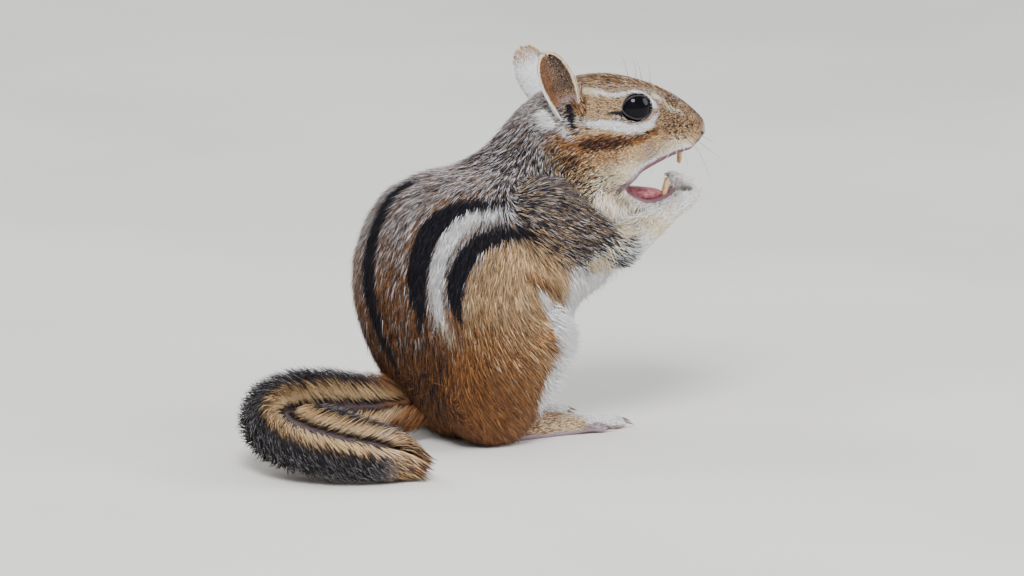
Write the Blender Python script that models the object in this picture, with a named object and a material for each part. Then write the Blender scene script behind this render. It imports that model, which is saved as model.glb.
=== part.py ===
"""An eastern chipmunk that sits up on its haunches with its paws raised to its open mouth, at life size.

The trunk's middle plane is y = 0, with the nose towards +X, the animal's left towards +Y, and +Z up.
The floor is z = 0. Sizes in the tables are millimetres and are turned into metres as they are used.
"""

import math
import random

import bmesh
import bpy
from mathutils import Matrix, Vector
from mathutils.bvhtree import BVHTree

MM = 0.001
GAP = 0.3
REGION_GROW = 1.0
HEAD_TRIANGLES = 1750
BODY_TRIANGLES = 1550
REGION_TRIANGLES = 240
PAW_TRIANGLES = 370
FOOT_TRIANGLES = 360

# Head: its place and turn in the trunk's frame, and its sections from the nose back
HEAD_PLACE = (29.8, -3.0, 74.0)
HEAD_YAW = -17.0
HEAD_ROLL = -4.0
HEAD_STATIONS = (
    # along, top, bottom, half width
    (24.0, 1.2, -1.9, 1.6),
    (22.9, 3.3, -3.4, 3.2),
    (20.4, 5.8, -5.0, 4.5),
    (17.0, 8.3, -7.2, 5.9),
    (13.0, 10.5, -9.6, 7.8),
    (8.5, 12.4, -12.2, 10.0),
    (4.0, 13.7, -15.0, 11.6),
    (-1.5, 14.5, -18.2, 13.0),
    (-7.0, 14.2, -20.4, 14.0),
    (-12.5, 12.4, -21.0, 14.2),
    (-18.0, 9.0, -20.0, 13.4),
    (-23.0, 4.5, -17.0, 11.0),
)
CHEEK_PLACE, CHEEK_SIZE = (-3.5, 9.2, -9.5), (8.5, 5.4, 7.2)
PAD_PLACE, PAD_SIZE = (16.6, 3.6, -3.2), (4.6, 2.7, 3.4)
NOSE_PLACE, NOSE_SIZE = (22.3, 0.0, 0.6), (2.4, 2.5, 2.6)
NOSTRIL_PLACE, NOSTRIL_SIZE = (24.0, 1.5, -0.7), (1.6, 0.55, 0.8)

# Eyes: the ball, the swelling it sits in, and the lids with their oval opening
EYE_PLACE = (4.3, 8.0, 6.6)
EYE_RADIUS = 4.6
EYE_AIM = (0.12, 1.0, 0.06)
ORBIT_SIZE = (8.8, 3.6, 5.9)
LID_DEPTH = 0.85
LID_OPENING = (3.85, 3.15)

# Mouth: the open cavity in profile, the lower jaw, tongue and front teeth
MOUTH_STATIONS = (
    # along, upper lip, lower lip, half width
    (1.0, -13.0, -14.0, 18.0),
    (4.0, -11.0, -15.9, 20.0),
    (8.0, -8.9, -17.7, 20.0),
    (12.0, -7.2, -17.1, 18.0),
    (15.5, -6.0, -15.5, 18.0),
    (19.0, -4.9, -14.0, 18.0),
    (30.0, -6.8, -13.0, 18.0),
)
LIP_RADIUS = 0.9
JAW_STATIONS = (
    # along, top, bottom, half width
    (16.4, -14.6, -18.4, 1.6),
    (15.4, -13.6, -19.8, 3.0),
    (12.5, -14.6, -21.4, 4.8),
    (8.0, -14.0, -22.6, 7.2),
    (2.0, -13.0, -23.4, 9.6),
    (-5.0, -12.0, -23.6, 11.0),
    (-12.0, -12.0, -22.5, 10.0),
)
JAW_OUTLINE = ((2.1, -13.3), (36.0, -9.5), (36.0, -42.0), (-11.0, -42.0))
JAW_BACKWARD = (-0.92, 0.39)
TONGUE_STATIONS = (
    # along, top, bottom, half width
    (13.0, -15.6, -17.2, 1.2),
    (11.6, -14.9, -17.9, 2.5),
    (8.0, -14.3, -18.6, 3.6),
    (4.0, -13.9, -18.4, 4.0),
    (2.4, -14.0, -17.6, 3.2),
)
INCISOR_WIDTH, INCISOR_DEPTH = 1.5, 1.4
UPPER_INCISOR_ROOT, UPPER_INCISOR_TIP = (18.0, -4.0), (17.5, -8.8)
LOWER_INCISOR_ROOT, LOWER_INCISOR_TIP = (13.4, -17.6), (14.6, -12.4)

# Ears: the middle of the root and the tip, the cup's half width and wall, and how far it faces forward
EAR_ROOT, EAR_TIP = (-12.6, 9.4, 3.6), (-19.8, 11.8, 20.8)
EAR_HALF_WIDTH = 4.4
EAR_WALL = 0.9
EAR_FORWARD_TURN = 16.0
EAR_WIDEST = 0.60
EAR_ROOT_WIDTH = 0.40
EAR_ROLL_ROOT, EAR_ROLL_TIP = 120.0, 48.0

# Trunk and neck: the back line, the belly line and the half width at each section
TORSO_STATIONS = (
    # back x, back z, belly x, belly z, half width
    (-21.0, 3.0, -8.0, -1.0, 11.0),
    (-28.5, 12.0, 4.0, 2.0, 18.0),
    (-36.3, 26.0, 12.5, 11.0, 23.5),
    (-39.6, 40.0, 16.0, 24.0, 24.8),
    (-37.5, 53.0, 19.5, 32.5, 23.5),
    (-30.5, 63.2, 26.5, 36.0, 21.5),
    (-20.0, 67.4, 31.0, 40.5, 20.0),
    (-10.0, 69.0, 34.0, 46.5, 18.0),
    (-1.5, 73.4, 35.5, 53.0, 16.0),
    (6.0, 80.6, 34.5, 59.0, 14.5),
    (14.0, 85.5, 32.0, 64.0, 12.0),
)
BACK_NARROWING = 0.14

# Planes where the neck ends: at the head, in the head's frame, and at the shoulders, in the trunk's
HEAD_PLANE_PLACE, HEAD_PLANE_NORMAL = (-16.0, 0.0, -6.0), (0.84, 0.0, 0.54)
NECK_PLANE_PLACE, NECK_PLANE_NORMAL = (10.0, 0.0, 60.0), (0.45, 0.0, 0.89)

# Fore limbs
SHOULDER = (3.0, 14.5, 56.5)
RIGHT_ELBOW, LEFT_ELBOW = (22.5, -19.0, 46.8), (20.5, 17.0, 46.0)
SHOULDER_RADIUS, UPPER_ARM_RADIUS, ELBOW_RADIUS = 10.5, 6.8, 5.2
FOREARM_RADIUS, WRIST_RADIUS = 4.5, 2.6
WRIST, KNUCKLES, FINGERTIPS = (13.6, 7.6, -20.2), (19.8, 4.8, -16.8), (18.0, 4.2, -12.0)
PALM_HALF_WIDTH, PALM_HALF_DEPTH = 2.9, 1.7
FINGER_RADIUS, FINGER_SPREAD = 0.95, 1.36
FINGER_REACH = (0.92, 1.04, 1.06, 0.96)

# Hind limbs
HIP, HIP_SIZE = (-10.5, 14.8, 19.5), (15.0, 10.8, 20.0)
KNEE, KNEE_RADIUS = (2.2, 17.6, 28.0), 8.4
SHANK_RADIUS, ANKLE_RADIUS = 7.6, 4.2
RIGHT_HEEL, LEFT_HEEL = (-4.0, -12.5, 4.5), (-9.5, 10.5, 4.5)
FOOT_TURN = -4.0
FOOT_STATIONS = (
    # forward from the heel, half width, top
    (-2.6, 1.6, 4.2),
    (-0.8, 3.0, 6.4),
    (5.0, 3.2, 7.0),
    (12.0, 3.4, 5.6),
    (19.0, 3.9, 4.5),
    (24.0, 4.0, 3.6),
    (25.6, 3.0, 2.8),
)
TOES = (
    # root forward, root sideways, length, sideways turn in degrees, radius
    (16.5, -3.0, 6.6, -14.0, 1.20),
    (22.6, -2.4, 8.4, -6.0, 1.35),
    (23.4, -0.1, 9.4, 0.0, 1.40),
    (22.6, 2.2, 8.8, 6.0, 1.35),
    (17.5, 3.1, 7.4, 15.0, 1.25),
)
CLAW_LENGTH = 2.6

# Tail: its middle line along the floor, and the half height of the coat along it
TAIL_LINE = (
    # x, y
    (-22.0, 0.0),
    (-36.0, 0.5),
    (-49.0, 0.0),
    (-61.0, -3.5),
    (-68.0, -12.0),
    (-69.0, -23.0),
    (-64.5, -32.5),
    (-56.5, -38.0),
    (-49.0, -40.5),
    (-42.5, -43.5),
)
TAIL_ROOT_HEIGHT = 11.0
TAIL_COAT = (6.6, 8.8, 10.6, 11.0, 10.8, 10.4, 9.6, 8.2, 5.8, 1.4)
TAIL_SHARES = (0.0, 0.36, 0.57, 0.79, 1.0)

# Tail locks: the core they leave as a share of the coat, their rows, their count round a row and their size
CORE_SHARE = 0.46
CORE_END = 0.88
LOCK_ROW_STEP = 7.2
LOCKS_ROUND = 8
FIRST_LOCK_ROW = 5.0
LOCK_LENGTH, LOCK_WIDTH, LOCK_THICKNESS = 15.0, 5.6, 1.3
LOCK_SHAPE = (
    # share of the length, share of the width, share of the way out from root to tip
    (0.0, 0.75, 0.0),
    (0.38, 1.0, 0.58),
    (0.74, 0.68, 0.90),
    (1.0, 0.0, 1.0),
)
LOCK_SEED = 11

PALETTE = {
    "torso": ((0.36, 0.27, 0.19), 0.85),
    "neck": ((0.34, 0.28, 0.22), 0.85),
    "thigh": ((0.42, 0.20, 0.09), 0.85),
    "upper": ((0.42, 0.34, 0.25), 0.85),
    "forearm": ((0.70, 0.58, 0.42), 0.85),
    "head": ((0.50, 0.34, 0.20), 0.85),
    "lower": ((0.80, 0.72, 0.58), 0.85),
    "ear": ((0.48, 0.30, 0.17), 0.80),
    "eye": ((0.02, 0.015, 0.012), 0.08),
    "hand": ((0.72, 0.66, 0.60), 0.75),
    "hind": ((0.66, 0.50, 0.38), 0.75),
    "tongue": ((0.62, 0.28, 0.27), 0.45),
    "incisors": ((0.85, 0.62, 0.30), 0.30),
    "tail": ((0.30, 0.22, 0.14), 0.90),
}
SHARP_ANGLE = 45.0


def clear_scene():
    """Removes whatever the start-up scene holds."""
    for thing in list(bpy.data.objects):
        bpy.data.objects.remove(thing)


def finish_node(name, thing):
    """Names a node, shades it smooth and gives it a material of its own."""
    thing.name = name
    colour, roughness = PALETTE[name.split("_")[0]]
    material = bpy.data.materials.new(name)
    material.use_nodes = True
    shader = material.node_tree.nodes["Principled BSDF"]
    shader.inputs["Base Color"].default_value = (*colour, 1.0)
    shader.inputs["Roughness"].default_value = roughness
    shader.inputs["Metallic"].default_value = 0.0
    thing.data.materials.clear()
    thing.data.materials.append(material)
    for face in thing.data.polygons:
        face.use_smooth = True
    thing.data.set_sharp_from_angle(angle=math.radians(SHARP_ANGLE))


def object_from(name, mesh):
    """Links a mesh to the scene as an object."""
    thing = bpy.data.objects.new(name, mesh)
    bpy.context.scene.collection.objects.link(thing)
    return thing


def object_from_bmesh(name, shape):
    """Turns a bmesh into an object with its faces pointing out."""
    bmesh.ops.recalc_face_normals(shape, faces=shape.faces)
    mesh = bpy.data.meshes.new(name)
    shape.to_mesh(mesh)
    shape.free()
    return object_from(name, mesh)


def remove(*things):
    """Deletes helper objects."""
    for thing in things:
        bpy.data.objects.remove(thing)


def settle(thing):
    """Replaces an object's mesh with what its modifiers make of it."""
    graph = bpy.context.evaluated_depsgraph_get()
    mesh = bpy.data.meshes.new_from_object(thing.evaluated_get(graph))
    thing.modifiers.clear()
    thing.data = mesh
    return thing


def copy_of(thing, name):
    """A separate copy of an object and its mesh."""
    return object_from(name, thing.data.copy())


def move(thing, matrix):
    """Moves an object's vertices by a matrix in metres. Its faces still point out after a mirroring one."""
    thing.data.transform(matrix)
    if matrix.determinant() < 0:
        thing.data.flip_normals()
    thing.data.update()
    return thing


def swollen(thing, amount, name):
    """A copy of a closed object with its skin pushed out by an amount."""
    copy = copy_of(thing, name)
    normals = [vertex.normal.copy() for vertex in copy.data.vertices]
    for vertex, normal in zip(copy.data.vertices, normals):
        vertex.co += normal * (amount * MM)
    copy.data.update()
    return copy


def islands_of(shape):
    """The separate surfaces of a bmesh, as lists of vertices."""
    unseen = set(shape.verts)
    islands = []
    while unseen:
        front = [unseen.pop()]
        island = list(front)
        while front:
            vert = front.pop()
            for edge in vert.link_edges:
                other = edge.other_vert(vert)
                if other in unseen:
                    unseen.remove(other)
                    island.append(other)
                    front.append(other)
        islands.append(island)
    return islands


def volume_of(island):
    """Six times the volume inside a closed surface."""
    total = 0.0
    for face in {face for vert in island for face in vert.link_faces}:
        corners = [corner.co for corner in face.verts]
        for i in range(1, len(corners) - 1):
            total += corners[0].dot(corners[i].cross(corners[i + 1]))
    return abs(total)


def keep_largest(thing):
    """Keeps only the closed surface that holds the most volume."""
    shape = bmesh.new()
    shape.from_mesh(thing.data)
    islands = sorted(islands_of(shape), key=volume_of, reverse=True)
    for island in islands[1:]:
        bmesh.ops.delete(shape, geom=island, context="VERTS")
    shape.to_mesh(thing.data)
    shape.free()
    return thing


def boolean(thing, other, operation, solver="EXACT"):
    """Cuts, joins or meets two closed meshes, keeps the result in the first and deletes the second."""
    step = thing.modifiers.new(operation, "BOOLEAN")
    step.operation = operation
    step.solver = solver
    step.object = other
    settle(thing)
    remove(other)
    return keep_largest(thing)


def cut_away(thing, cutter):
    """Cuts a helper shape from an object."""
    return boolean(thing, cutter, "DIFFERENCE")


def keep_within(thing, cutter):
    """Keeps the part of an object inside a helper shape."""
    return boolean(thing, cutter, "INTERSECT")


def join_by_union(name, pieces):
    """Unites closed pieces into the first one with a single Boolean over a collection."""
    body, others = pieces[0], pieces[1:]
    group = bpy.data.collections.new(name + "_pieces")
    bpy.context.scene.collection.children.link(group)
    for piece in others:
        bpy.context.scene.collection.objects.unlink(piece)
        group.objects.link(piece)
    step = body.modifiers.new("join", "BOOLEAN")
    step.operation = "UNION"
    step.solver = "EXACT"
    step.operand_type = "COLLECTION"
    step.collection = group
    settle(body)
    remove(*others)
    bpy.data.collections.remove(group)
    body.name = name
    return keep_largest(body)


def fused(name, pieces, voxel, smoothing, triangles):
    """Melts overlapping pieces into one smooth skin and thins it to a number of triangles."""
    shape = bmesh.new()
    for piece in pieces:
        shape.from_mesh(piece.data)
    mesh = bpy.data.meshes.new(name)
    shape.to_mesh(mesh)
    shape.free()
    remove(*pieces)
    body = object_from(name, mesh)
    remesh = body.modifiers.new("melt", "REMESH")
    remesh.mode = "VOXEL"
    remesh.voxel_size = voxel * MM
    soften = body.modifiers.new("soften", "SMOOTH")
    soften.factor = 0.5
    soften.iterations = smoothing
    triangulate = body.modifiers.new("triangulate", "TRIANGULATE")
    triangulate.quad_method = "BEAUTY"
    settle(body)
    have = len(body.data.polygons)
    if triangles and triangles < have:
        thin = body.modifiers.new("thin", "DECIMATE")
        thin.ratio = triangles / have
        settle(body)
    return keep_largest(body)


def blended(rows, position):
    """Reads a table at a fractional row number, along a smooth curve through its rows."""
    last = len(rows) - 1
    index = min(int(position), last - 1)
    t = position - index
    near = [rows[max(0, min(last, index + step))] for step in (-1, 0, 1, 2)]
    result = []
    for a, b, c, d in zip(*near):
        slope = (c - a) * t
        bend = (2 * a - 5 * b + 4 * c - d) * t**2
        twist = (3 * b - a - 3 * c + d) * t**3
        result.append(0.5 * (2 * b + slope + bend + twist))
    return result


def sampled(rows, per_gap):
    """The rows of a table, with smooth rows added between them."""
    steps = (len(rows) - 1) * per_gap
    return [blended(rows, step / per_gap) for step in range(steps + 1)]


def closed_loft(name, rings, tip=None):
    """A closed skin over a row of rings of equal count, with a fan at each end. The last fan can run to a tip."""
    shape = bmesh.new()
    rows = [[shape.verts.new(Vector(point) * MM) for point in ring] for ring in rings]
    sides = len(rows[0])
    for first, second in zip(rows, rows[1:]):
        for i in range(sides):
            j = (i + 1) % sides
            shape.faces.new((first[i], first[j], second[j], second[i]))
    for row in (rows[0], rows[-1]):
        place = sum((vert.co for vert in row), Vector()) / sides
        if tip and row is rows[-1]:
            place = Vector(tip) * MM
        middle = shape.verts.new(place)
        for i in range(sides):
            shape.faces.new((row[i], row[(i + 1) % sides], middle))
    return object_from_bmesh(name, shape)


def ellipse_ring(centre, across, upward, sides, narrowing=0.0):
    """A ring round a centre. A narrowing above 0 makes it slimmer at the end of upward."""
    points = []
    for i in range(sides):
        angle = 2 * math.pi * i / sides
        slim = 1 - narrowing * math.cos(angle)
        points.append(centre + math.cos(angle) * upward + math.sin(angle) * slim * across)
    return points


def profile_loft(name, stations, sides=24, per_gap=3, grow=0.0):
    """A body with upright sections: each station is (along, top, bottom, half width)."""
    rings = []
    for along, top, bottom, half_width in sampled(stations, per_gap):
        centre = Vector((along, 0, (top + bottom) / 2))
        height = Vector((0, 0, (top - bottom) / 2 + grow))
        width = Vector((0, half_width + grow, 0))
        rings.append(ellipse_ring(centre, width, height, sides))
    return closed_loft(name, rings)


def tube(name, points, radii, sides=12, grow=0.0):
    """A round limb along a few points with rounded ends."""
    line = [Vector(point) for point in points]
    last = len(line) - 1
    rings = []
    for i, (point, radius) in enumerate(zip(line, radii)):
        forward = (line[min(last, i + 1)] - line[max(0, i - 1)]).normalized()
        across = forward.cross(Vector((0, 0, 1)))
        if across.length < 0.05:
            across = forward.cross(Vector((0, 1, 0)))
        across.normalize()
        upward = across.cross(forward)
        size = radius + grow
        slices = [(0.0, 1.0)]
        if i == 0:
            slices = [(-0.92, 0.38), (-0.6, 0.8), (0.0, 1.0)]
        if i == last:
            slices = [(0.0, 1.0), (0.6, 0.8), (0.92, 0.38)]
        for shift, scale in slices:
            centre = point + forward * (shift * size)
            rings.append(ellipse_ring(centre, across * size * scale, upward * size * scale, sides))
    return closed_loft(name, rings)


def ball(name, centre, size, grow=0.0, segments=20, rings=12):
    """An ellipsoid of the given half sizes."""
    shape = bmesh.new()
    bmesh.ops.create_uvsphere(shape, u_segments=segments, v_segments=rings, radius=1.0)
    scale = Matrix.Diagonal([(side + grow) * MM for side in size] + [1.0])
    place = Matrix.Translation(Vector(centre) * MM)
    bmesh.ops.transform(shape, matrix=place @ scale, verts=shape.verts)
    return object_from_bmesh(name, shape)


def slab(name, centre, normal, half_size, thickness):
    """A flat square plate used as a cutter."""
    shape = bmesh.new()
    bmesh.ops.create_cube(shape, size=1.0)
    scale = Matrix.Diagonal((2 * half_size * MM, 2 * half_size * MM, thickness * MM, 1.0))
    turn = Vector(normal).to_track_quat("Z", "Y").to_matrix().to_4x4()
    place = Matrix.Translation(Vector(centre) * MM)
    bmesh.ops.transform(shape, matrix=place @ turn @ scale, verts=shape.verts)
    return object_from_bmesh(name, shape)


def half_space(point, normal, past):
    """A big block that starts at a plane and lies on the side its normal points to, moved along by past."""
    depth = 150.0
    normal = Vector(normal).normalized()
    return slab("half_space", Vector(point) + normal * (past + depth / 2), normal, depth, depth)


def cut_at_floor(thing):
    """Cuts away what lies under the floor, which leaves a small flat."""
    return cut_away(thing, half_space((0, 0, 0), (0, 0, -1), 0.0))


def split(thing, point, normal, name):
    """Parts an object at a plane. The side the normal points to becomes a new node."""
    node = keep_within(copy_of(thing, name), half_space(point, normal, GAP / 2))
    cut_away(thing, half_space(point, normal, -GAP / 2))
    return node


def prism(name, outline, half_depth):
    """A block whose side view is an outline of (along, height) points."""
    shape = bmesh.new()
    rows = []
    for y in (-half_depth, half_depth):
        rows.append([shape.verts.new(Vector((x, y, z)) * MM) for x, z in outline])
    count = len(outline)
    for i in range(count):
        j = (i + 1) % count
        shape.faces.new((rows[0][i], rows[0][j], rows[1][j], rows[1][i]))
    for row in rows:
        shape.faces.new(row)
    return object_from_bmesh(name, shape)


def mirrored(point, side):
    """A point given for the left, or the same point on the right when side is -1."""
    return Vector((point[0], side * point[1], point[2]))


def head_matrix():
    """From the head's own frame to the trunk's."""
    turn = Matrix.Rotation(math.radians(HEAD_YAW), 4, "Z") @ Matrix.Rotation(math.radians(HEAD_ROLL), 4, "X")
    return Matrix.Translation(Vector(HEAD_PLACE) * MM) @ turn


def head_point(point, side=1):
    """A point of the head's frame in the trunk's frame, in millimetres."""
    return (head_matrix() @ (mirrored(point, side) * MM)) / MM


def head_plane():
    """Where the head meets the neck: a point and the way forward, in the trunk's frame."""
    normal = head_matrix().to_3x3() @ Vector(HEAD_PLANE_NORMAL)
    return head_point(HEAD_PLANE_PLACE), normal


def head_pieces():
    """The closed shapes that melt into the head and jaw, in the trunk's frame."""
    pieces = [
        profile_loft("skull", HEAD_STATIONS, sides=32),
        profile_loft("jaw", JAW_STATIONS),
        ball("nose", NOSE_PLACE, NOSE_SIZE),
    ]
    for side in (1, -1):
        for place, size in ((CHEEK_PLACE, CHEEK_SIZE), (PAD_PLACE, PAD_SIZE), (EYE_PLACE, ORBIT_SIZE)):
            pieces.append(ball("swelling", mirrored(place, side), size))
    return [move(piece, head_matrix()) for piece in pieces]


def lids(side):
    """The upper and lower eyelid as one shell round the eyeball with an oval opening."""
    centre = mirrored(EYE_PLACE, side)
    aim = mirrored(EYE_AIM, side).normalized()
    shell = ball("lids", centre, (EYE_RADIUS + LID_DEPTH,) * 3, 0.0, 32, 20)
    turn = aim.to_track_quat("Z", "X").to_matrix()
    across = turn @ Vector((0, 1, 0))
    upward = turn @ Vector((1, 0, 0))
    if abs(across.z) > abs(upward.z):
        across, upward = upward, across
    rings = []
    for reach in (0.0, EYE_RADIUS * 2):
        rings.append(ellipse_ring(centre + aim * reach, across * LID_OPENING[0], upward * LID_OPENING[1], 28))
    cut_away(shell, closed_loft("opening", rings))
    return move(shell, head_matrix())


def side_of_head(tree, along, height, side):
    """Where a level line from the side at this place first meets the head, in the head's frame."""
    matrix = head_matrix()
    start = matrix @ (Vector((along, side * 40.0, height)) * MM)
    aim = matrix.to_3x3() @ Vector((0, -side, 0))
    hit = tree.ray_cast(start, aim)[0]
    return (matrix.inverted() @ hit) / MM if hit else None


def lips(base):
    """Soft rolls that run along both edges of the open mouth."""
    tree = BVHTree.FromObject(base, bpy.context.evaluated_depsgraph_get())
    pieces = []
    for edge, last in ((1, 5), (2, 4)):
        for side in (1, -1):
            line = []
            for station in sampled(MOUTH_STATIONS[: last + 1], 2):
                place = side_of_head(tree, station[0], station[edge], side)
                if place:
                    line.append(place - Vector((0, side * LIP_RADIUS * 0.5, 0)))
            pieces.append(move(tube("lip", line, [LIP_RADIUS] * len(line), 10), head_matrix()))
    return pieces


def build_head():
    """The head with its sockets, lids, lips, open mouth and nostrils, before the jaw is parted from it."""
    base = fused("head", head_pieces() + [torso_piece()], 0.7, 6, 0)
    point, normal = head_plane()
    keep_within(base, half_space(point, normal, -3.0))
    details = lips(base) + [lids(1), lids(-1)]
    head = fused("head", [base] + details, 0.42, 5, HEAD_TRIANGLES)
    keep_within(head, half_space(point, normal, GAP / 2))
    for side in (1, -1):
        socket = ball("socket", mirrored(EYE_PLACE, side), (EYE_RADIUS,) * 3, GAP)
        cut_away(head, move(socket, head_matrix()))
        nostril = ball("nostril", mirrored(NOSTRIL_PLACE, side), NOSTRIL_SIZE, 0.0, 10, 8)
        cut_away(head, move(nostril, head_matrix()))
    return cut_away(head, move(profile_loft("cavity", MOUTH_STATIONS, 20, 2), head_matrix()))


def take_jaw(head):
    """Parts the lower jaw from the head along a line that runs back and down from the mouth's corner."""
    jaw = copy_of(head, "lower_jaw")
    keep_within(jaw, move(prism("block", JAW_OUTLINE, 25.0), head_matrix()))
    room = [(x + GAP * JAW_BACKWARD[0], z + GAP * JAW_BACKWARD[1]) for x, z in JAW_OUTLINE]
    cut_away(head, move(prism("room", room, 25.0), head_matrix()))
    return jaw


def incisors(root, tip, grow=0.0):
    """A pair of front teeth as one piece with a groove between them: root and tip are (along, height)."""
    rings = []
    for share, slim in ((0.0, 1.0), (0.45, 1.0), (0.85, 0.92), (1.0, 0.72)):
        along = root[0] + (tip[0] - root[0]) * share
        height = root[1] + (tip[1] - root[1]) * share
        width = INCISOR_WIDTH * slim + grow
        depth = INCISOR_DEPTH / 2 * slim + grow
        ring = []
        for x, y in ((-1, -1), (-1, 0), (-1, 1), (1, 1), (1, 0), (1, -1)):
            inset = 0.25 if y == 0 and grow == 0.0 else 0.0
            ring.append(Vector((along + x * (depth - inset), y * width, height)))
        rings.append(ring)
    return move(closed_loft("incisors", rings), head_matrix())


def ear_point(across, up, side):
    """A point of the ear's middle surface. Across runs from -1 to 1 and up from 0 to 1."""
    root, tip = Vector(EAR_ROOT), Vector(EAR_TIP)
    axis = (tip - root).normalized()
    length = (tip - root).length
    turn = math.radians(EAR_FORWARD_TURN)
    face = Vector((math.sin(turn), math.cos(turn), 0))
    face = (face - axis * face.dot(axis)).normalized()
    wide = face.cross(axis)
    if up < EAR_WIDEST:
        ease = math.sin(0.5 * math.pi * up / EAR_WIDEST)
        half = EAR_HALF_WIDTH * (EAR_ROOT_WIDTH + (1 - EAR_ROOT_WIDTH) * ease)
    else:
        half = EAR_HALF_WIDTH * math.sqrt(max(0.0, 1 - ((up - EAR_WIDEST) / (1 - EAR_WIDEST)) ** 2))
    roll = math.radians(EAR_ROLL_ROOT + (EAR_ROLL_TIP - EAR_ROLL_ROOT) * min(1.0, up * 1.3))
    radius = half / max(0.35, math.sin(min(roll, math.pi / 2)))
    angle = roll * across
    point = root + axis * (length * up)
    point += wide * (radius * math.sin(angle)) + face * (radius * (1 - math.cos(angle)) - 2.0)
    return Vector((point.x, side * point.y, point.z))


def ear(name, side):
    """The cup of one ear, a thin curved wall."""
    shape = bmesh.new()
    columns, rows = 8, 8
    grid = []
    for j in range(rows + 1):
        up = 0.985 * (j / rows) ** 0.8
        line = [ear_point(2 * i / columns - 1, up, side) for i in range(columns + 1)]
        grid.append([shape.verts.new(point * MM) for point in line])
    for j in range(rows):
        for i in range(columns):
            shape.faces.new((grid[j][i], grid[j][i + 1], grid[j + 1][i + 1], grid[j + 1][i]))
    cup = object_from_bmesh(name, shape)
    wall = cup.modifiers.new("wall", "SOLIDIFY")
    wall.thickness = EAR_WALL * MM
    wall.offset = 0.0
    settle(cup)
    shape = bmesh.new()
    shape.from_mesh(cup.data)
    remove(cup)
    return move(object_from_bmesh(name, shape), head_matrix())


def torso_piece():
    """The trunk and neck as one loft from the rump to the back of the head."""
    rings = []
    for back_x, back_z, belly_x, belly_z, half_width in sampled(TORSO_STATIONS, 4):
        back, belly = Vector((back_x, 0, back_z)), Vector((belly_x, 0, belly_z))
        across = Vector((0, half_width, 0))
        rings.append(ellipse_ring((back + belly) / 2, across, (back - belly) / 2, 36, BACK_NARROWING))
    return closed_loft("trunk", rings)


def arm_points(side):
    """Shoulder, elbow and wrist in the trunk's frame; side is 1 for the left and -1 for the right."""
    elbow = LEFT_ELBOW if side > 0 else RIGHT_ELBOW
    return mirrored(SHOULDER, side), Vector(elbow), head_point(WRIST, side)


def leg_points(side):
    """Hip, knee and heel in the trunk's frame."""
    heel = LEFT_HEEL if side > 0 else RIGHT_HEEL
    return mirrored(HIP, side), mirrored(KNEE, side), Vector(heel)


def arm_pieces(side, grow=0.0, past_wrist=0.6):
    """The closed shapes of one fore limb down to a little past the wrist."""
    shoulder, elbow, wrist = arm_points(side)
    beyond = wrist + (wrist - elbow).normalized() * past_wrist
    upper = (shoulder, shoulder.lerp(elbow, 0.6), elbow)
    lower = (elbow, elbow.lerp(wrist, 0.35), wrist, beyond)
    radii = (ELBOW_RADIUS, FOREARM_RADIUS, WRIST_RADIUS, WRIST_RADIUS * 0.8)
    return [
        tube("upper_arm", upper, (SHOULDER_RADIUS, UPPER_ARM_RADIUS, ELBOW_RADIUS), 16, grow),
        tube("forearm", lower, radii, 16, grow),
    ]


def leg_pieces(side, grow=0.0):
    """The closed shapes of one hind limb down to the ankle."""
    hip, knee, heel = leg_points(side)
    shank = (knee, knee.lerp(heel, 0.6), heel)
    return [
        ball("haunch", hip, HIP_SIZE, grow),
        tube("thigh", (hip, knee), (HIP_SIZE[1], KNEE_RADIUS), 16, grow),
        tube("shank", shank, (KNEE_RADIUS, SHANK_RADIUS, ANKLE_RADIUS), 16, grow),
    ]


def limb_pieces():
    """The closed shapes of all four limbs down to the wrists and ankles."""
    pieces = []
    for side in (1, -1):
        pieces += arm_pieces(side) + leg_pieces(side)
    return pieces


def claw(root, direction, bend, length, radius):
    """A curved claw that narrows to its tip."""
    side = direction.cross(bend).normalized()
    upward = side.cross(direction)
    rings = []
    for share in (0.0, 0.5, 1.0):
        centre = Vector(root) + direction * (length * share) + bend * (share**2)
        size = radius * (1 - 0.85 * share)
        rings.append(ellipse_ring(centre, side * size, upward * size, 5))
    return closed_loft("claw", rings)


def foot_frame(side):
    """From the foot's own frame (forward, outward, up from under the heel) to the trunk's, in metres."""
    heel = leg_points(side)[2]
    place = Matrix.Translation(Vector((heel.x, heel.y, 0)) * MM)
    turn = Matrix.Rotation(math.radians(FOOT_TURN * side), 4, "Z")
    return place @ turn @ Matrix.Diagonal((1, side, 1, 1))


def foot_loft(grow=0.0):
    """The long sole and instep of the hind foot, without toes, in the foot's frame."""
    rings = []
    for forward, half_width, top in sampled(FOOT_STATIONS, 2):
        centre = Vector((forward, 0, top / 2 - 0.4))
        across = Vector((0, half_width + grow, 0))
        upward = Vector((0, 0, top / 2 + 0.4 + grow))
        rings.append(ellipse_ring(centre, across, upward, 14))
    return closed_loft("instep", rings)


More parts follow.
